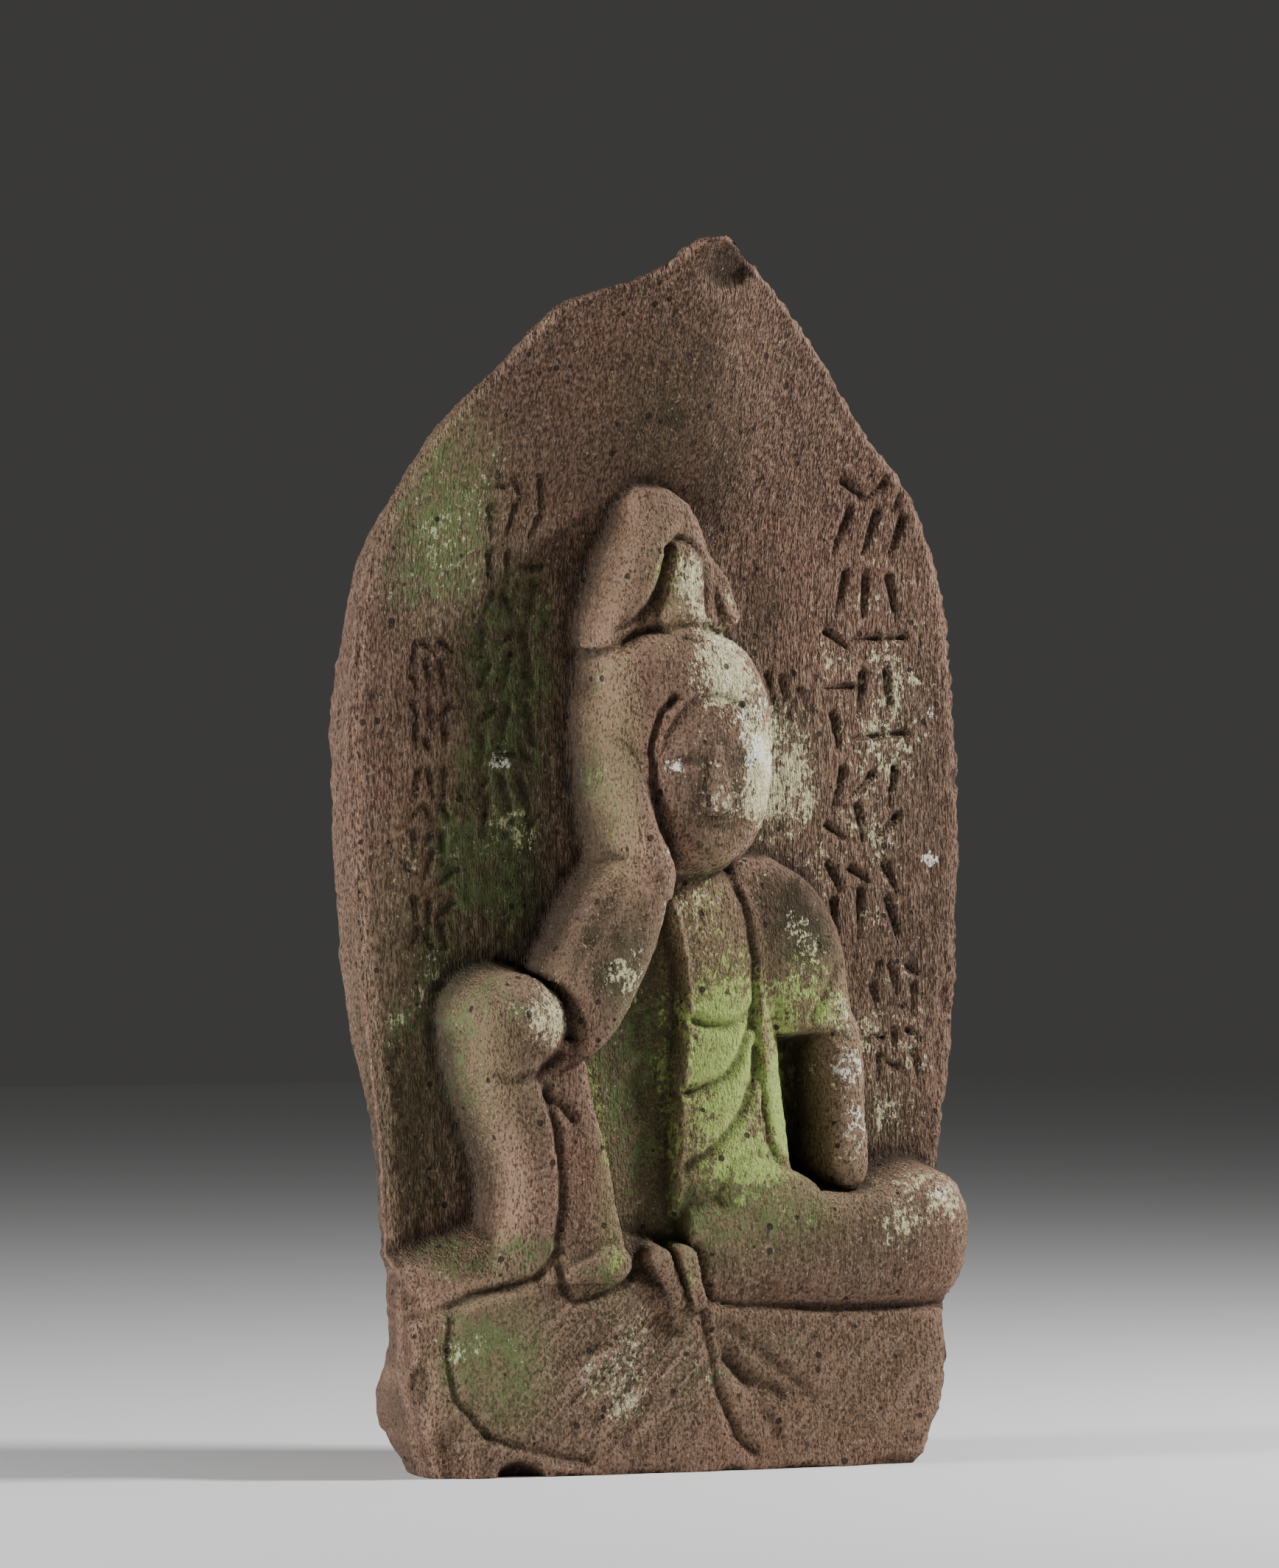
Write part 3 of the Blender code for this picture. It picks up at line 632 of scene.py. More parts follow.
def figure(x, z):
    """How far forward the figure stands, all in grid steps."""
    body = blend_max(loaf(x, z, ROBE, 0.12), base(x, z), 8.0)
    chest = loaf(x, z, TORSO, 0.4)
    from_lapel = x - along(z, LEFT_LAPEL, 1)
    inner = smooth((along(z, RIGHT_LAPEL, 1) - x) / 3.0) * smooth((from_lapel + 3.0) / 3.0)
    chest = chest - 12.0 * smooth(-from_lapel / 5.0) - 2.5 * inner + 3.0 * np.exp(-((from_lapel / 2.2) ** 2))
    body = blend_max(body, blend_max(chest, bolster(x, z, ARM, 0.3), 5.0), 3.0)
    for mass, sag, flat, lean, left_sag, reach in (
        (FOREARM, 0.7, 2.0, 0.5, 0.7, 3.0),
        (DRAPE, 0.15, 4.0, 0.5, 0.15, 4.0),
        (SHIN, 0.9, 2.0, 0.7, 1.5, 3.0),
    ):
        body = blend_max(body, bolster(x, z, mass, sag, flat, lean, left_sag), reach)
    body = blend_max(body, bolster(z, x, LEFT_LEG, 0.55, 2.6), 5.0)
    for mass, sag, reach in ((LAP, 0.5, 9.0), (KNEE, 1.0, 4.0), (FOOT, 0.4, 2.0)):
        body = blend_max(body, loaf(x, z, mass, sag), reach)
    for end in SASH_ENDS:
        body = blend_max(body, loaf(x, z, end, 0.3), 1.5)

    hair = dome(x, z, HAIR_CENTRE, HAIR_SIZE, 58.0, 30.0, 2.5)
    flank = bolster(x, z, HAIR_FLANK, 0.7, 2.2, 0.5, 1.1)
    body = blend_max(body, blend_max(hair, flank, 5.0), 3.0)
    body = blend_max(body, bolster(x, z, TOPKNOT, 0.5, 2.6), 2.0)
    body = blend_max(body, bolster(x, z, TOPKNOT_LOCK, 0.8, 2.2), 2.0)
    for mass, sag, reach in ((TOPKNOT_PANEL, 0.3, 3.0), (STRAND, 0.6, 1.5)):
        body = blend_max(body, loaf(x, z, mass, sag), reach)
    reach = np.hypot(
        (x - FACE_CENTRE[0]) / FACE_SIZE[0], (z - FACE_CENTRE[1]) / FACE_SIZE[1]
    )
    body = body + (face(x, z) - body) * smooth((1.0 - reach) / 0.07)
    hand = bolster(x, z, HAND, 1.4, 2.0, 0.6, 2.4) - 4.0 * smooth((x - along(z, HAND_EDGE, 1)) / 6.0)
    body = blend_max(blend_max(body, bolster(x, z, SLEEVE, 1.1, 2.0, 0.58, 1.6), 2.0), hand, 4.0)
    for width, depth, path in CUTS:
        body = body - groove(x, z, path, width, depth)
    for turn in np.radians(FOLD_TURNS):
        ends = [(FOLD_HUB[0] + r * np.sin(turn), FOLD_HUB[1] - r * np.cos(turn)) for r in FOLD_REACH]
        body = body - groove(x, z, ends, FOLD_WIDTH, FOLD_DEPTH)
    return body


def forward(x, z):
    """How far forward of the slab's plain front the stone stands, in metres."""
    gx, gz = x / STEP, z / STEP
    front = blend_max(figure(gx, gz) * DEPTH_STEP, field(x, z), FIELD_BLEND)
    for (cx, cz), (rx, rz), depth in BREAKS:
        off = ((gx - cx) / rx) ** 2 + ((gz - cz) / rz) ** 2
        front = front - depth * DEPTH_STEP * np.exp(-(off**2))
    left, right = half_widths(z)
    near = np.clip(1.0 - np.minimum(x - left, right - x) / (2.0 * EDGE_WEAR), 0.0, 1.0)
    return front - EDGE_WEAR * near**2


def half_widths(z):
    """Where the slab's left and right edges are at a height."""
    level = z / STELE_HEIGHT * SLAB_STEPS_HIGH
    step = SLAB_WIDTH / SLAB_STEPS_WIDE
    return -step * along(level, EDGES, 1), step * along(level, EDGES, 2)


def sign_strokes():
    """Worn strokes in the inscription's places: loose uprights and slants that spell nothing."""
    cutter = random.Random(STROKE_SEED)
    for middle, width, top, pitch, signs, depth in INSCRIPTION:
        for sign in range(signs):
            tall = pitch * SIGN_FILL
            for side in STROKE_PLACES:
                parting = cutter.uniform(LEAST_PARTING, MOST_PARTING)
                for upper, lower in ((0.0, parting), (parting, 1.0)):
                    share = lower - upper
                    x = middle + width * (side + cutter.uniform(-STROKE_STRAY, STROKE_STRAY))
                    low = 0.5 * (upper + lower) + cutter.uniform(-STROKE_DRIFT, STROKE_DRIFT)
                    z = top - pitch * sign - tall * low
                    if share > 0.5:
                        turn = cutter.uniform(-LONG_TURN, LONG_TURN)
                    else:
                        turn = cutter.choice(SHORT_TURNS)
                    reach = 0.5 * min(STROKE_TALL * share * tall, STROKE_WIDE * width)
                    across, up = reach * math.sin(turn), reach * math.cos(turn)
                    yield ((x + across, z + up), (x - across, z - up)), depth
    for path in SCRATCHES:
        yield path, SCRATCH_DEPTH


def strokes(x, z):
    """How deep the cut strokes go: each starts deep where the chisel went in and runs out."""
    deep = np.zeros(np.shape(x))
    for path, depth in sign_strokes():
        for start, end in zip(path, path[1:]):
            nearest, share = to_segment(x, z, start, end)
            width = STROKE_WIDTH * (1.2 - 0.5 * share)
            cut = depth * (1.1 - 0.5 * share) * np.exp(-((nearest / width) ** 2))
            deep = np.maximum(deep, cut)
    return deep * smooth(edge_distance(x, z) / EDGE_FADE)


def chips(x, z):
    """How deep the small chips go."""
    deep = np.zeros(np.shape(x))
    for (cx, cz), (rx, rz), depth in CHIPS:
        off = ((x - cx) / rx) ** 2 + ((z - cz) / rz) ** 2
        deep = deep + depth * np.exp(-(off**2))
    return deep


def edge_distance(x, z):
    """How far inside the slab's nearer edge a place is, in grid steps."""
    left, right = half_widths(z * STEP)
    return np.minimum(x - left / STEP, right / STEP - x)


def inscribed(x, z):
    """1 where the stone is inscribed, fading out around it."""
    here = np.zeros(np.shape(x))
    for middle, width, top, pitch, signs, _ in INSCRIPTION:
        height = pitch * signs
        off_x = np.maximum(np.abs(x - middle) - 0.5 * width, 0.0)
        off_z = np.maximum(np.abs(z - top + 0.5 * height) - 0.5 * height, 0.0)
        here = np.maximum(here, np.exp(-((np.hypot(off_x, off_z) / INSCRIBED_REACH) ** 2)))
    return here


def back_and_sides(z, left, right, front):
    """The points of each level from the front's right edge round the back to its left edge."""
    share = z / STELE_HEIGHT
    thick = SIDE_THICKNESS * (1.0 - TOP_THINS_BY * smooth((share - TOP_THINS_FROM) / TOP_THINS_OVER))
    thick = thick + FOOT_THICKNESS * (1.0 - smooth(share / FOOT_THICKENS_OVER))
    bulge = BACK_BULGE * (1.0 - BULGE_FADES_BY * smooth((share - BULGE_FADES_FROM) / BULGE_FADES_OVER))
    inset = BACK_INSET * smooth((share - INSET_FROM) / INSET_OVER)
    inset = inset + FOOT_INSET * (1.0 - smooth((share - FOOT_INSET_FROM) / FOOT_INSET_OVER))
    flare = FOOT_FLARE * np.exp(-(((share - FLARE_LEVEL) / FLARE_SPREAD) ** 2))
    middle, half = 0.5 * (left + right), 0.5 * (right - left)
    inset = np.minimum(inset, INSET_MOST * half)
    ground = [field(left, z), field(right, z)]
    xs, ys = [], []
    for t in np.arange(1, SIDE_COLUMNS) / SIDE_COLUMNS:
        xs.append(right + SIDE_BULGE * np.sin(np.pi * t) - inset * t**INSET_POWER)
        ys.append(-front[:, -1] + (thick - ground[1] + front[:, -1]) * t)
    for u in np.linspace(1.0, -1.0, BACK_COLUMNS + 1):
        edge = ground[0] + (ground[1] - ground[0]) * (0.5 + 0.5 * u)
        xs.append(middle + (half - inset) * u - flare * smooth((-u - FLARE_FROM) / FLARE_OVER))
        ys.append(thick - edge + bulge * (1.0 - abs(u) ** BULGE_POWER))
    for t in np.arange(SIDE_COLUMNS - 1, 0, -1) / SIDE_COLUMNS:
        xs.append(left - SIDE_BULGE * np.sin(np.pi * t) - flare * t + inset * t**INSET_POWER)
        ys.append(-front[:, 0] + (thick - ground[0] + front[:, 0]) * t)
    return np.array(xs).T, np.array(ys).T


def front_grid():
    """Places across and up for the front's points, drawn closer together where it is steep."""
    z = np.linspace(-CUT_ALLOWANCE, STELE_HEIGHT, ROWS + 1)[:, None] + np.zeros(FRONT_COLUMNS + 1)
    u = np.linspace(0.0, 1.0, FRONT_COLUMNS + 1) + np.zeros((ROWS + 1, 1))
    for _ in range(EVENING_ROUNDS):
        left, right = half_widths(z)
        x = left + (right - left) * u
        y = forward(x, z)
        crowd = 1.0 + CROWDING * inscribed(x / STEP, z / STEP)
        wide = np.diff(x, axis=1) ** 2 + np.diff(y, axis=1) ** 2 + np.diff(z, axis=1) ** 2
        tall = np.diff(x, axis=0) ** 2 + np.diff(y, axis=0) ** 2 + np.diff(z, axis=0) ** 2
        wide, tall = wide * crowd[:, 1:], tall * crowd[1:, :]
        west, east = wide[1:-1, :-1], wide[1:-1, 1:]
        south, north = tall[:-1, 1:-1], tall[1:, 1:-1]
        total = west + east + south + north
        for place in (u, z):
            even = (
                west * place[1:-1, :-2]
                + east * place[1:-1, 2:]
                + south * place[:-2, 1:-1]
                + north * place[2:, 1:-1]
            ) / total
            place[1:-1, 1:-1] += EVENING_RATE * (even - place[1:-1, 1:-1])
    left, right = half_widths(z)
    return left + (right - left) * u, z


def spread(values, rounds):
    """The values of the front's grid, each evened out with its neighbours some rounds over."""
    for _ in range(rounds):
        padded = np.pad(values, 1, mode="edge")
        values = 0.25 * (padded[1:-1, :-2] + padded[1:-1, 2:] + padded[:-2, 1:-1] + padded[2:, 1:-1])
    return values


def patch_cover(x, z, patches):
    """How strongly a growth covers each place: soft ovals of (x, z, across, up, strength)."""
    cover = np.zeros(np.shape(x))
    for cx, cz, rx, rz, strength in patches:
        off = ((x - cx) / rx) ** 2 + ((z - cz) / rz) ** 2
        cover = np.maximum(cover, strength * np.exp(-PATCH_FALL * off**PATCH_POWER))
    return cover


def surface_marks(x, z, front):
    """What the material reads at each point of the front: recesses and cut strokes that get painted shade,
    rubbed edges that get pale wear and painted highlight, and growths, the dark one partly painted shade.
    """
    gx, gz = x / STEP, z / STEP
    cut = strokes(gx, gz)
    relief = front - field(x, z) + cut * DEPTH_STEP
    near = edge_distance(gx, gz)
    rise = (relief - spread(relief, FINE_ROUNDS)) / FINE_RELIEF
    broad = (relief - spread(relief, BROAD_ROUNDS)) / BROAD_RELIEF
    stands = smooth((figure(gx, gz) * DEPTH_STEP - field(x, z)) / FIGURE_STANDS)
    # painted shade: the recesses of the relief and the cut strokes are darkened
    hollow_shade = np.clip(-rise, 0.0, 1.0) + BROAD_HOLLOW_SHADE * np.clip(-broad, 0.0, 1.0)
    marks = {
        "hollow_shade": hollow_shade + CUT_STROKE_SHADE * cut,
        # pale wear and painted highlight on the raised places of the relief and along the slab's edges
        "worn_and_lit": np.clip(rise, 0.0, 1.0) + ARRIS_WEAR_AND_HIGHLIGHT * np.clip(1.0 - near / WORN_AND_LIT_ARRIS, 0.0, 1.0),
        "arris": np.exp(-near / RAGGED_ARRIS),
        "field": 1.0 - stands,
        "hatch": patch_cover(gx, gz, HATCHED),
    }
    marks.update({name: patch_cover(gx, gz, patches) for name, patches in GROWTHS.items()})
    return marks


def stone_points():
    """Every point of the rolled sheet, level by level round the stone, and the front's marks."""
    x, z = front_grid()
    plain = forward(x, z)
    front = plain - (strokes(x / STEP, z / STEP) + chips(x / STEP, z / STEP)) * DEPTH_STEP
    level = z[:, 0]
    left, right = half_widths(level)
    round_x, round_y = back_and_sides(level, left, right, front)
    round_z = level[:, None] + np.zeros_like(round_x)
    seam = [x[:, :1], -front[:, :1], z[:, :1]]
    points = [np.hstack(parts) for parts in zip((x, -front, z), (round_x, round_y, round_z), seam)]
    marks = surface_marks(x, z, front)
    rest = points[0].shape[1] - x.shape[1] - 1
    for name, values in marks.items():
        fade = np.linspace(1.0, 0.0, rest // 2) ** 2
        sides = np.hstack((values[:, -1:] * fade, values[:, :1] * fade[::-1]))
        marks[name] = np.hstack((values, np.pad(sides, ((0, 0), (0, rest - sides.shape[1]))), values[:, :1]))
    return points, marks


def stele_mesh():
    """The stone: a sheet rolled round, joined at its seam, closed at both ends and cut level."""
    (xs, ys, zs), marks = stone_points()
    rows, columns = xs.shape[0] - 1, xs.shape[1] - 1
    bm = bmesh.new()
    layers = [(bm.verts.layers.float.new(name), values) for name, values in marks.items()]
    bmesh.ops.create_grid(bm, x_segments=columns, y_segments=rows, size=0.5)
    for v in bm.verts:
        column, row = round((v.co.x + 0.5) * columns), round((v.co.y + 0.5) * rows)
        point = Vector((xs[row, column], ys[row, column], zs[row, column]))
        is_front = column <= FRONT_COLUMNS or column == columns
        ragged = float(marks["arris"][row, column])
        amount = STONE_ROUGHNESS * (FRONT_SHARE + RAGGED_SHARE * ragged if is_front else 1.0)
        uneven = noise.noise_vector(point * SWELL_WAVES)
        uneven = uneven + RIPPLE_SHARE * noise.noise_vector(point * RIPPLE_WAVES)
        grain = GRAIN_HEIGHT * (1.0 + RAGGED_GRAIN * ragged) * noise.noise_vector(point * GRAIN_WAVES)
        v.co = point + amount * uneven + grain
        for layer, values in layers:
            v[layer] = values[row, column]
    bmesh.ops.remove_doubles(bm, verts=bm.verts, dist=1e-6)
    bmesh.ops.edgeloop_fill(bm, edges=[e for e in bm.edges if e.is_boundary and e.verts[0].co.z > 0.1])
    every = bm.verts[:] + bm.edges[:] + bm.faces[:]
    bmesh.ops.bisect_plane(
        bm, geom=every, dist=1e-5, plane_co=(0, 0, 0), plane_no=(0, 0, 1), clear_inner=True
    )
    bmesh.ops.edgeloop_fill(bm, edges=[e for e in bm.edges if e.is_boundary])
    bmesh.ops.recalc_face_normals(bm, faces=bm.faces)
    low = [min(v.co[i] for v in bm.verts) for i in range(2)]
    high = [max(v.co[i] for v in bm.verts) for i in range(2)]
    shift = Vector((-(low[0] + high[0]) / 2, -(low[1] + high[1]) / 2, 0.0))
    bmesh.ops.translate(bm, verts=bm.verts, vec=shift)
    mesh = bpy.data.meshes.new("carved stele")
    bm.to_mesh(mesh)
    bm.free()
    mesh.polygons.foreach_set("use_smooth", [True] * len(mesh.polygons))
    return mesh, shift


noise.seed_set(UNEVENNESS_SEED)
mesh, shift = stele_mesh()
stele = bpy.data.objects.new("carved_stele", mesh)
bpy.context.collection.objects.link(stele)
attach(stele, "root")
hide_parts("stele")


def shader_group(name, inputs, outputs):
    """An empty shader group with its sockets, all of them single values."""
    group = bpy.data.node_groups.new(name, "ShaderNodeTree")
    for label, value in inputs:
        socket = group.interface.new_socket(label, in_out="INPUT", socket_type="NodeSocketFloat")
        socket.default_value = value
    for label in outputs:
        group.interface.new_socket(label, in_out="OUTPUT", socket_type="NodeSocketFloat")
    return group, group.nodes.new("NodeGroupInput"), group.nodes.new("NodeGroupOutput")


class Bench:
    """Places nodes in one tree and joins them up, so that a material reads as a recipe."""

    def __init__(self, tree):
        self.tree = tree

    def node(self, kind, **values):
        made = self.tree.nodes.new(kind)
        for name, value in values.items():
            setattr(made, name, value)
        return made

    def feed(self, socket, value):
        if isinstance(value, bpy.types.NodeSocket):
            self.tree.links.new(value, socket)
        else:
            socket.default_value = value

    def math(self, operation, *values, clamp=False):
        made = self.node("ShaderNodeMath", operation=operation, use_clamp=clamp)
        for socket, value in zip(made.inputs, values):
            self.feed(socket, value)
        return made.outputs[0]

    def ramp(self, value, low, high):
        """0 at low, 1 at high, eased between."""
        made = self.node("ShaderNodeMapRange", interpolation_type="SMOOTHSTEP")
        self.feed(made.inputs["Value"], value)
        self.feed(made.inputs["From Min"], low)
        self.feed(made.inputs["From Max"], high)
        return made.outputs["Result"]

    def mix(self, share, first, second):
        """The first colour, with a share of the second over it."""
        made = self.node("ShaderNodeMix", data_type="RGBA")
        self.feed(made.inputs["Factor"], share)
        self.feed(made.inputs["A"], first)
        self.feed(made.inputs["B"], second)
        return made.outputs["Result"]

    def place(self, stretch=(1.0, 1.0, 1.0), turn=(0.0, 0.0, 0.0)):
        """Object coordinates, turned and then stretched."""
        where = self.node("ShaderNodeTexCoord").outputs["Object"]
        made = self.node("ShaderNodeMapping", vector_type="TEXTURE")
        made.inputs["Scale"].default_value = [1.0 / share for share in stretch]
        made.inputs["Rotation"].default_value = turn
        self.feed(made.inputs["Vector"], where)
        return made.outputs["Vector"]

    def noise(self, where, scale, detail=3.0, rough=0.55):
        made = self.node("ShaderNodeTexNoise")
        made.inputs["Scale"].default_value = scale
        made.inputs["Detail"].default_value = detail
        made.inputs["Roughness"].default_value = rough
        self.feed(made.inputs["Vector"], where)
        return made.outputs["Fac"]

    def attribute(self, name):
        return self.node("ShaderNodeAttribute", attribute_name=name).outputs["Fac"]

    def group(self, group, **values):
        made = self.node("ShaderNodeGroup", node_tree=group)
        for name, value in values.items():
            self.feed(made.inputs[name], value)
        return made


def grain_group():
    """Porous volcanic stone: fine grain, a few open pits and pale crystals."""
    group, _, out = shader_group("porous grain", (), ("Grain", "Pits", "Crystals"))
    bench = Bench(group)
    where = bench.place()
    cells = bench.node("ShaderNodeTexVoronoi", feature="F1")
    cells.inputs["Scale"].default_value = PIT_CELLS
    bench.feed(cells.inputs["Vector"], where)
    pick = bench.node("ShaderNodeSeparateColor")
    bench.feed(pick.inputs["Color"], cells.outputs["Color"])
    size = bench.math("MULTIPLY", bench.ramp(pick.outputs["Red"], 0.62, 1.0), 0.26)
    pits = bench.ramp(bench.math("SUBTRACT", size, cells.outputs["Distance"]), 0.0, 0.06)
    scattered = bench.noise(bench.place((1.0, 1.0, 0.7), (0.6, 0.3, 0.9)), CRYSTAL_NOISE, 2.0)
    crystals = bench.ramp(scattered, 0.66, 0.72)
    grain = bench.noise(where, GRAIN_NOISE, 4.0, 0.7)
    for name, value in (("Grain", grain), ("Pits", pits), ("Crystals", crystals)):
        bench.feed(out.inputs[name], value)
    return group


def chisel_group():
    """Marks left by the chisel: long furrows, and short marks between the grains, whose shade the stone's
    material paints in dark.
    """
    group, _, out = shader_group("chisel marks", (), [mark[0] for mark in CHISEL_MARKS])
    bench = Bench(group)
    for name, stretch, turn, scale in CHISEL_MARKS:
        bench.feed(out.inputs[name], bench.noise(bench.place(stretch, (0.0, turn, 0.0)), scale, 2.0, 0.6))
    return group


def growth_group():
    """A growth's ragged cover: its amount, broken up coarsely, finely and along the chisel streaks."""
    given = (("Amount", 0.0), ("Need", 0.8), ("Streak", 0.5), ("Size", 1.0), ("Edge", 0.12), ("Crumble", 0.5))
    group, given, out = shader_group("growth cover", given, ("Cover",))
    bench = Bench(group)
    sized = bench.node("ShaderNodeVectorMath", operation="SCALE")
    bench.feed(sized.inputs[0], bench.place((1.0, 1.0, 0.8)))
    bench.feed(sized.inputs["Scale"], given.outputs["Size"])
    broken = bench.noise(sized.outputs["Vector"], BREAKING_NOISE, 6.0, 0.75)
    drift = bench.noise(bench.place(), DRIFTING_NOISE, 3.0)
    ragged = bench.math("MULTIPLY_ADD", broken, 0.9, bench.math("MULTIPLY_ADD", drift, 0.6, -0.25))
    ragged = bench.math("MULTIPLY_ADD", given.outputs["Streak"], 0.22, ragged)
    need = bench.math("MULTIPLY_ADD", given.outputs["Amount"], -0.32, given.outputs["Need"])
    full = bench.math("ADD", need, given.outputs["Edge"])
    speckle = bench.noise(bench.place((1.0, 1.0, 0.6)), SPECKLE_NOISE, 3.0, 0.7)
    speckle = bench.ramp(speckle, 0.40, 0.56)
    speckle = bench.math("MULTIPLY_ADD", speckle, given.outputs["Crumble"], 1.0)
    speckle = bench.math("SUBTRACT", speckle, given.outputs["Crumble"])
    bench.feed(out.inputs["Cover"], bench.math("MULTIPLY", bench.ramp(ragged, need, full), speckle))
    return group


def stone_material():
    """Red-brown volcanic stone with painted shade in its recesses, cut strokes, pits and short chisel marks,
    pinkish rubbed edges with painted highlight, dark discolouring that is partly painted shade, algae and
    pale lichen.
    """
    material = bpy.data.materials.new("weathered red-brown stone")
    material.use_nodes = True
    bench = Bench(material.node_tree)
    shader = material.node_tree.nodes["Principled BSDF"]
    grain = bench.group(grain_group()).outputs
    chisel = bench.group(chisel_group()).outputs
    hollow_shade, worn_and_lit = bench.attribute("hollow_shade"), bench.attribute("worn_and_lit")
    field, hatch = bench.attribute("field"), bench.attribute("hatch")
    drawn = bench.math("MULTIPLY_ADD", field, 0.6, 0.4)
    drawn = bench.math("MULTIPLY", drawn, bench.math("MULTIPLY_ADD", hatch, -0.7, 1.0))
    marks = bench.math("MULTIPLY_ADD", chisel["Dashes"], drawn, chisel["Specks"])
    marks = bench.math("MULTIPLY_ADD", chisel["Specks"], bench.math("MULTIPLY", drawn, -1.0), marks)
    # the short marks are fine pits whose shade is painted in dark
    dash_shade = bench.ramp(marks, 0.48, 0.40)
    flecks = bench.ramp(marks, 0.52, 0.64)

    drift = bench.noise(bench.place(), TONE_DRIFT, 5.0, 0.6)
    tone = bench.math("MULTIPLY_ADD", grain["Grain"], 0.8, bench.math("MULTIPLY_ADD", drift, 1.6, -0.7))
    color = bench.mix(bench.ramp(tone, 0.2, 0.8), STONE_BROWN, STONE_RED)
    furrows = bench.ramp(chisel["Furrows"], 0.36, 0.64)
    color = bench.mix(bench.math("MULTIPLY", furrows, FURROW_TINT), color, STONE_PALE)
    # painted highlight on the crests of the chisel hatching
    lit_ridges = bench.math("MULTIPLY", bench.ramp(chisel["Hatch"], 0.50, 0.60), hatch)
    color = bench.mix(bench.math("MULTIPLY", lit_ridges, RIDGE_HIGHLIGHT_TINT), color, WORN_PINK_AND_HIGHLIGHT)
    color = bench.mix(bench.math("MULTIPLY", flecks, FLECK_TINT), color, STONE_PALE)
    # pale wear and painted highlight on the rubbed edges and along the arrises
    color = bench.mix(bench.math("MULTIPLY", worn_and_lit, WORN_AND_LIT_TINT), color, WORN_PINK_AND_HIGHLIGHT)
    color = bench.mix(bench.math("MULTIPLY", dash_shade, DASH_SHADE_TINT), color, DASH_SHADE_DARK)

    growth = growth_group()
    for name, tint, need, streaky, size, edge, crumble, film, crust in GROWTH_LOOKS:
        amount = bench.attribute(name)
        streak = bench.math("MULTIPLY", chisel["Dashes"], streaky)
        given = {"Amount": amount, "Need": need, "Streak": streak}
        given.update({"Size": size, "Edge": edge, "Crumble": crumble})
        cover = bench.group(growth, **given).outputs["Cover"]
        share = bench.math("MULTIPLY_ADD", cover, crust, bench.math("MULTIPLY", amount, film), clamp=True)
        color = bench.mix(share, color, tint)
    # the painted shade of the short marks, laid over the growths too
    color = bench.mix(bench.math("MULTIPLY", dash_shade, DASH_SHADE_OVER_GROWTH), color, DASH_SHADE_DARK)
    color = bench.mix(bench.math("MULTIPLY", grain["Crystals"], CRYSTAL_TINT), color, CRYSTAL_PALE)
    # painted shade in the recesses and cut strokes
    color = bench.mix(bench.math("MULTIPLY", hollow_shade, HOLLOW_SHADE_TINT, clamp=True), color, HOLLOW_SHADE_DARK)
    # painted shade in the pits
    color = bench.mix(bench.math("MULTIPLY", grain["Pits"], PIT_SHADE_TINT), color, HOLLOW_SHADE_DARK)
    bench.feed(shader.inputs["Base Color"], color)
    shader.inputs["Roughness"].default_value = STONE_ROUGH
    shader.inputs["Specular IOR Level"].default_value = STONE_SHINE

    upright = bench.math("MULTIPLY_ADD", field, FURROW_RISE_ON_FIELD, FURROW_RISE)
    height = bench.math("MULTIPLY", grain["Grain"], GRAIN_RISE)
    height = bench.math("MULTIPLY_ADD", chisel["Furrows"], upright, height)
    hatched = bench.math("MULTIPLY", hatch, HATCH_RISE)
    height = bench.math("MULTIPLY_ADD", chisel["Hatch"], hatched, height)
    height = bench.math("MULTIPLY_ADD", marks, SPECK_RISE, height)
    height = bench.math("SUBTRACT", height, bench.math("MULTIPLY", grain["Pits"], PIT_FALL))
    bump = bench.node("ShaderNodeBump")
    bump.inputs["Strength"].default_value = 1.0
    bump.inputs["Distance"].default_value = SURFACE_RELIEF
    bench.feed(bump.inputs["Height"], height)
    bench.feed(shader.inputs["Normal"], bump.outputs["Normal"])
    return material


mesh.materials.append(stone_material())

FLOOR_REACH = 6.0

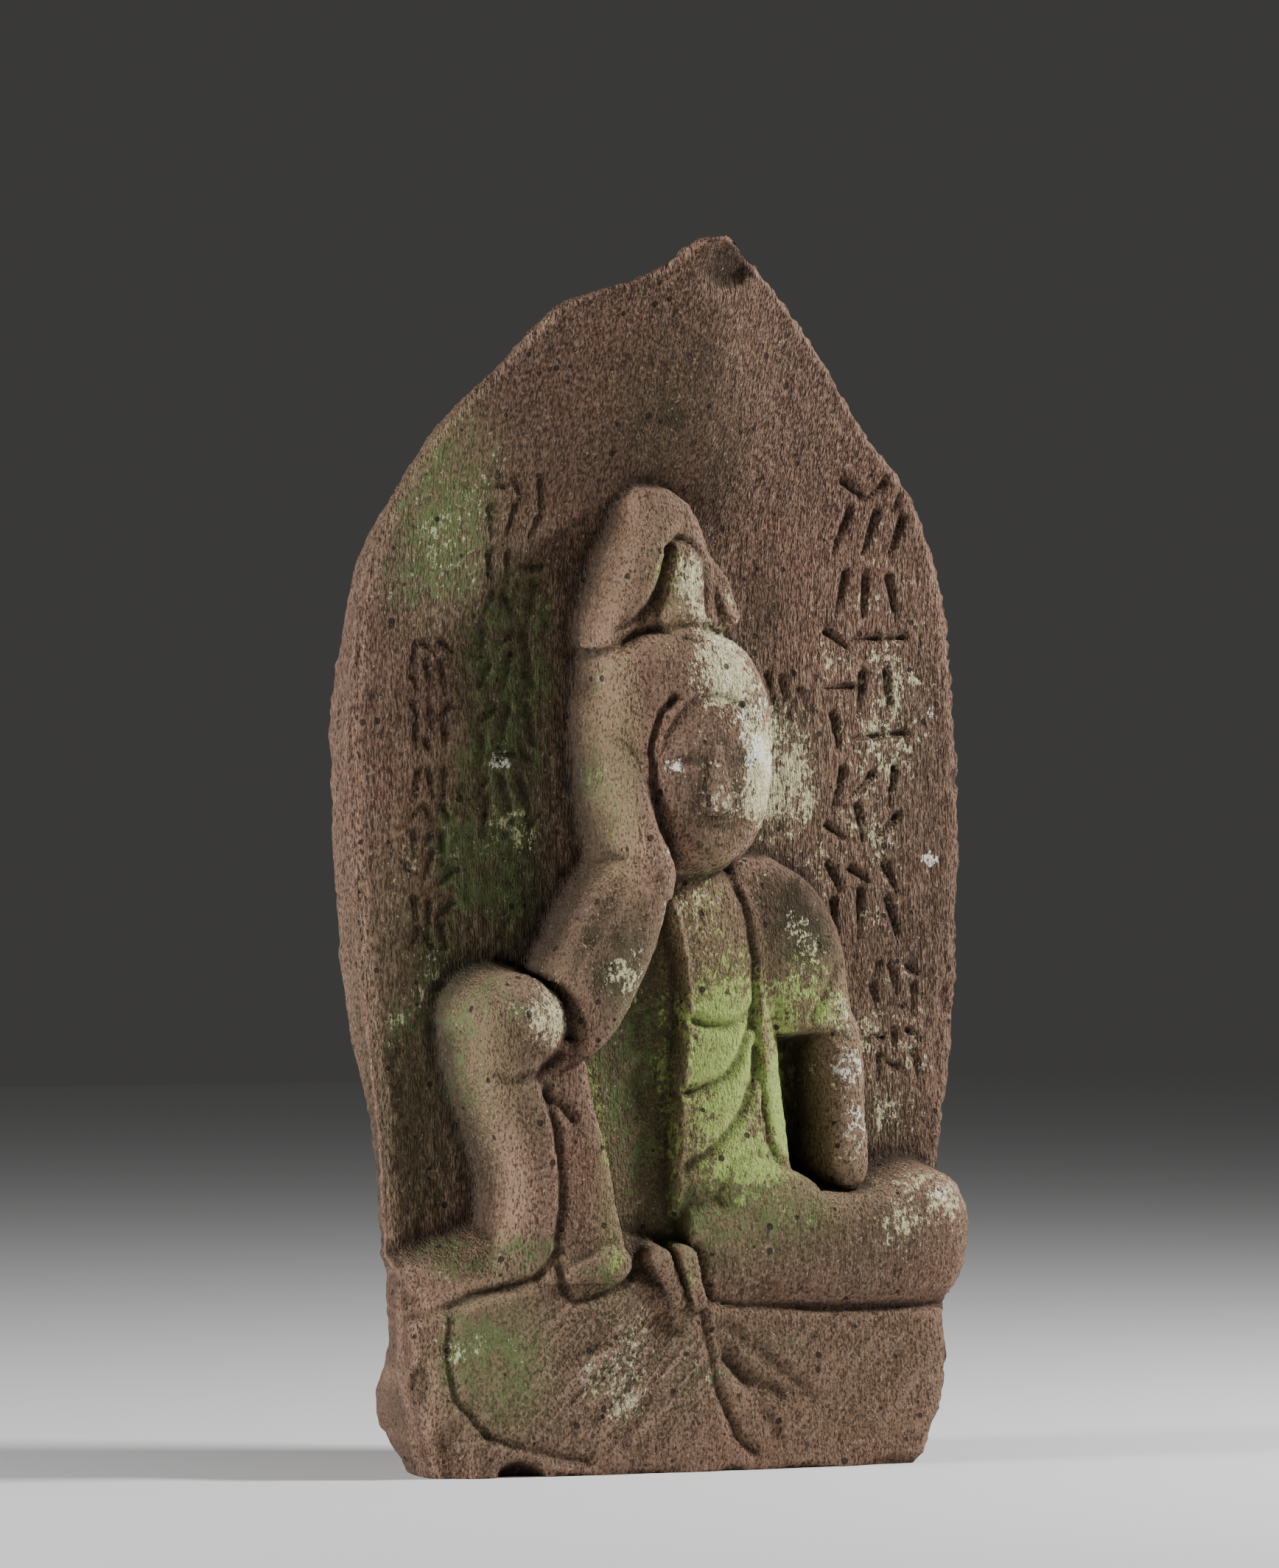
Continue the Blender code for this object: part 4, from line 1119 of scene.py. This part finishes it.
floor_mesh = bpy.data.meshes.new("floor")
bm = bmesh.new()
bmesh.ops.create_grid(bm, x_segments=1, y_segments=1, size=FLOOR_REACH)
bm.to_mesh(floor_mesh)
bm.free()
floor = bpy.data.objects.new("floor", floor_mesh)
bpy.context.collection.objects.link(floor)

# The photograph's frame, its height in pixels, and the camera
FRAME_HIGH = 2129
PIXELS_PER_METRE = 2400
CAMERA_TURN = math.radians(-25)
CAMERA_DISTANCE = 5.0
AIM = Vector((-0.010 + shift.x, shift.y, 0.386))
SENSOR = 36.0

camera = bpy.data.cameras.new("camera")
camera.sensor_width = SENSOR
camera.lens = SENSOR * PIXELS_PER_METRE * CAMERA_DISTANCE / FRAME_HIGH
viewer = bpy.data.objects.new("camera", camera)
back = Vector((math.sin(CAMERA_TURN), -math.cos(CAMERA_TURN), 0.0))
viewer.location = AIM + back * CAMERA_DISTANCE
viewer.rotation_euler = (-back).to_track_quat("-Z", "Y").to_euler()
bpy.context.collection.objects.link(viewer)
bpy.context.scene.camera = viewer

# The lights' places, watts and sizes, the place they point at, and the light of the room
KEY_LIGHT = ((1.35, -0.66, 1.4), 57.0, 0.28)
FILL_LIGHT = ((-2.5, -0.06, 0.7), 88.0, 0.5)
LIT_PLACE = Vector((0, 0, 0.35))
AIR_COLOR, AIR_STRENGTH = (1.0, 0.98, 0.96, 1.0), 0.05


def softbox(name, place, watts, size):
    """A square soft light that points at the stone."""
    lamp = bpy.data.lights.new(name, "AREA")
    lamp.energy = watts
    lamp.size = size
    box = bpy.data.objects.new(name, lamp)
    box.location = place
    box.rotation_euler = (LIT_PLACE - Vector(place)).to_track_quat("-Z", "Y").to_euler()
    bpy.context.collection.objects.link(box)


softbox("key light from the right", *KEY_LIGHT)
softbox("fill light from the left", *FILL_LIGHT)

world = bpy.data.worlds.new("studio air")
world.use_nodes = True
world.node_tree.nodes["Background"].inputs["Color"].default_value = AIR_COLOR
world.node_tree.nodes["Background"].inputs["Strength"].default_value = AIR_STRENGTH
bpy.context.scene.world = world
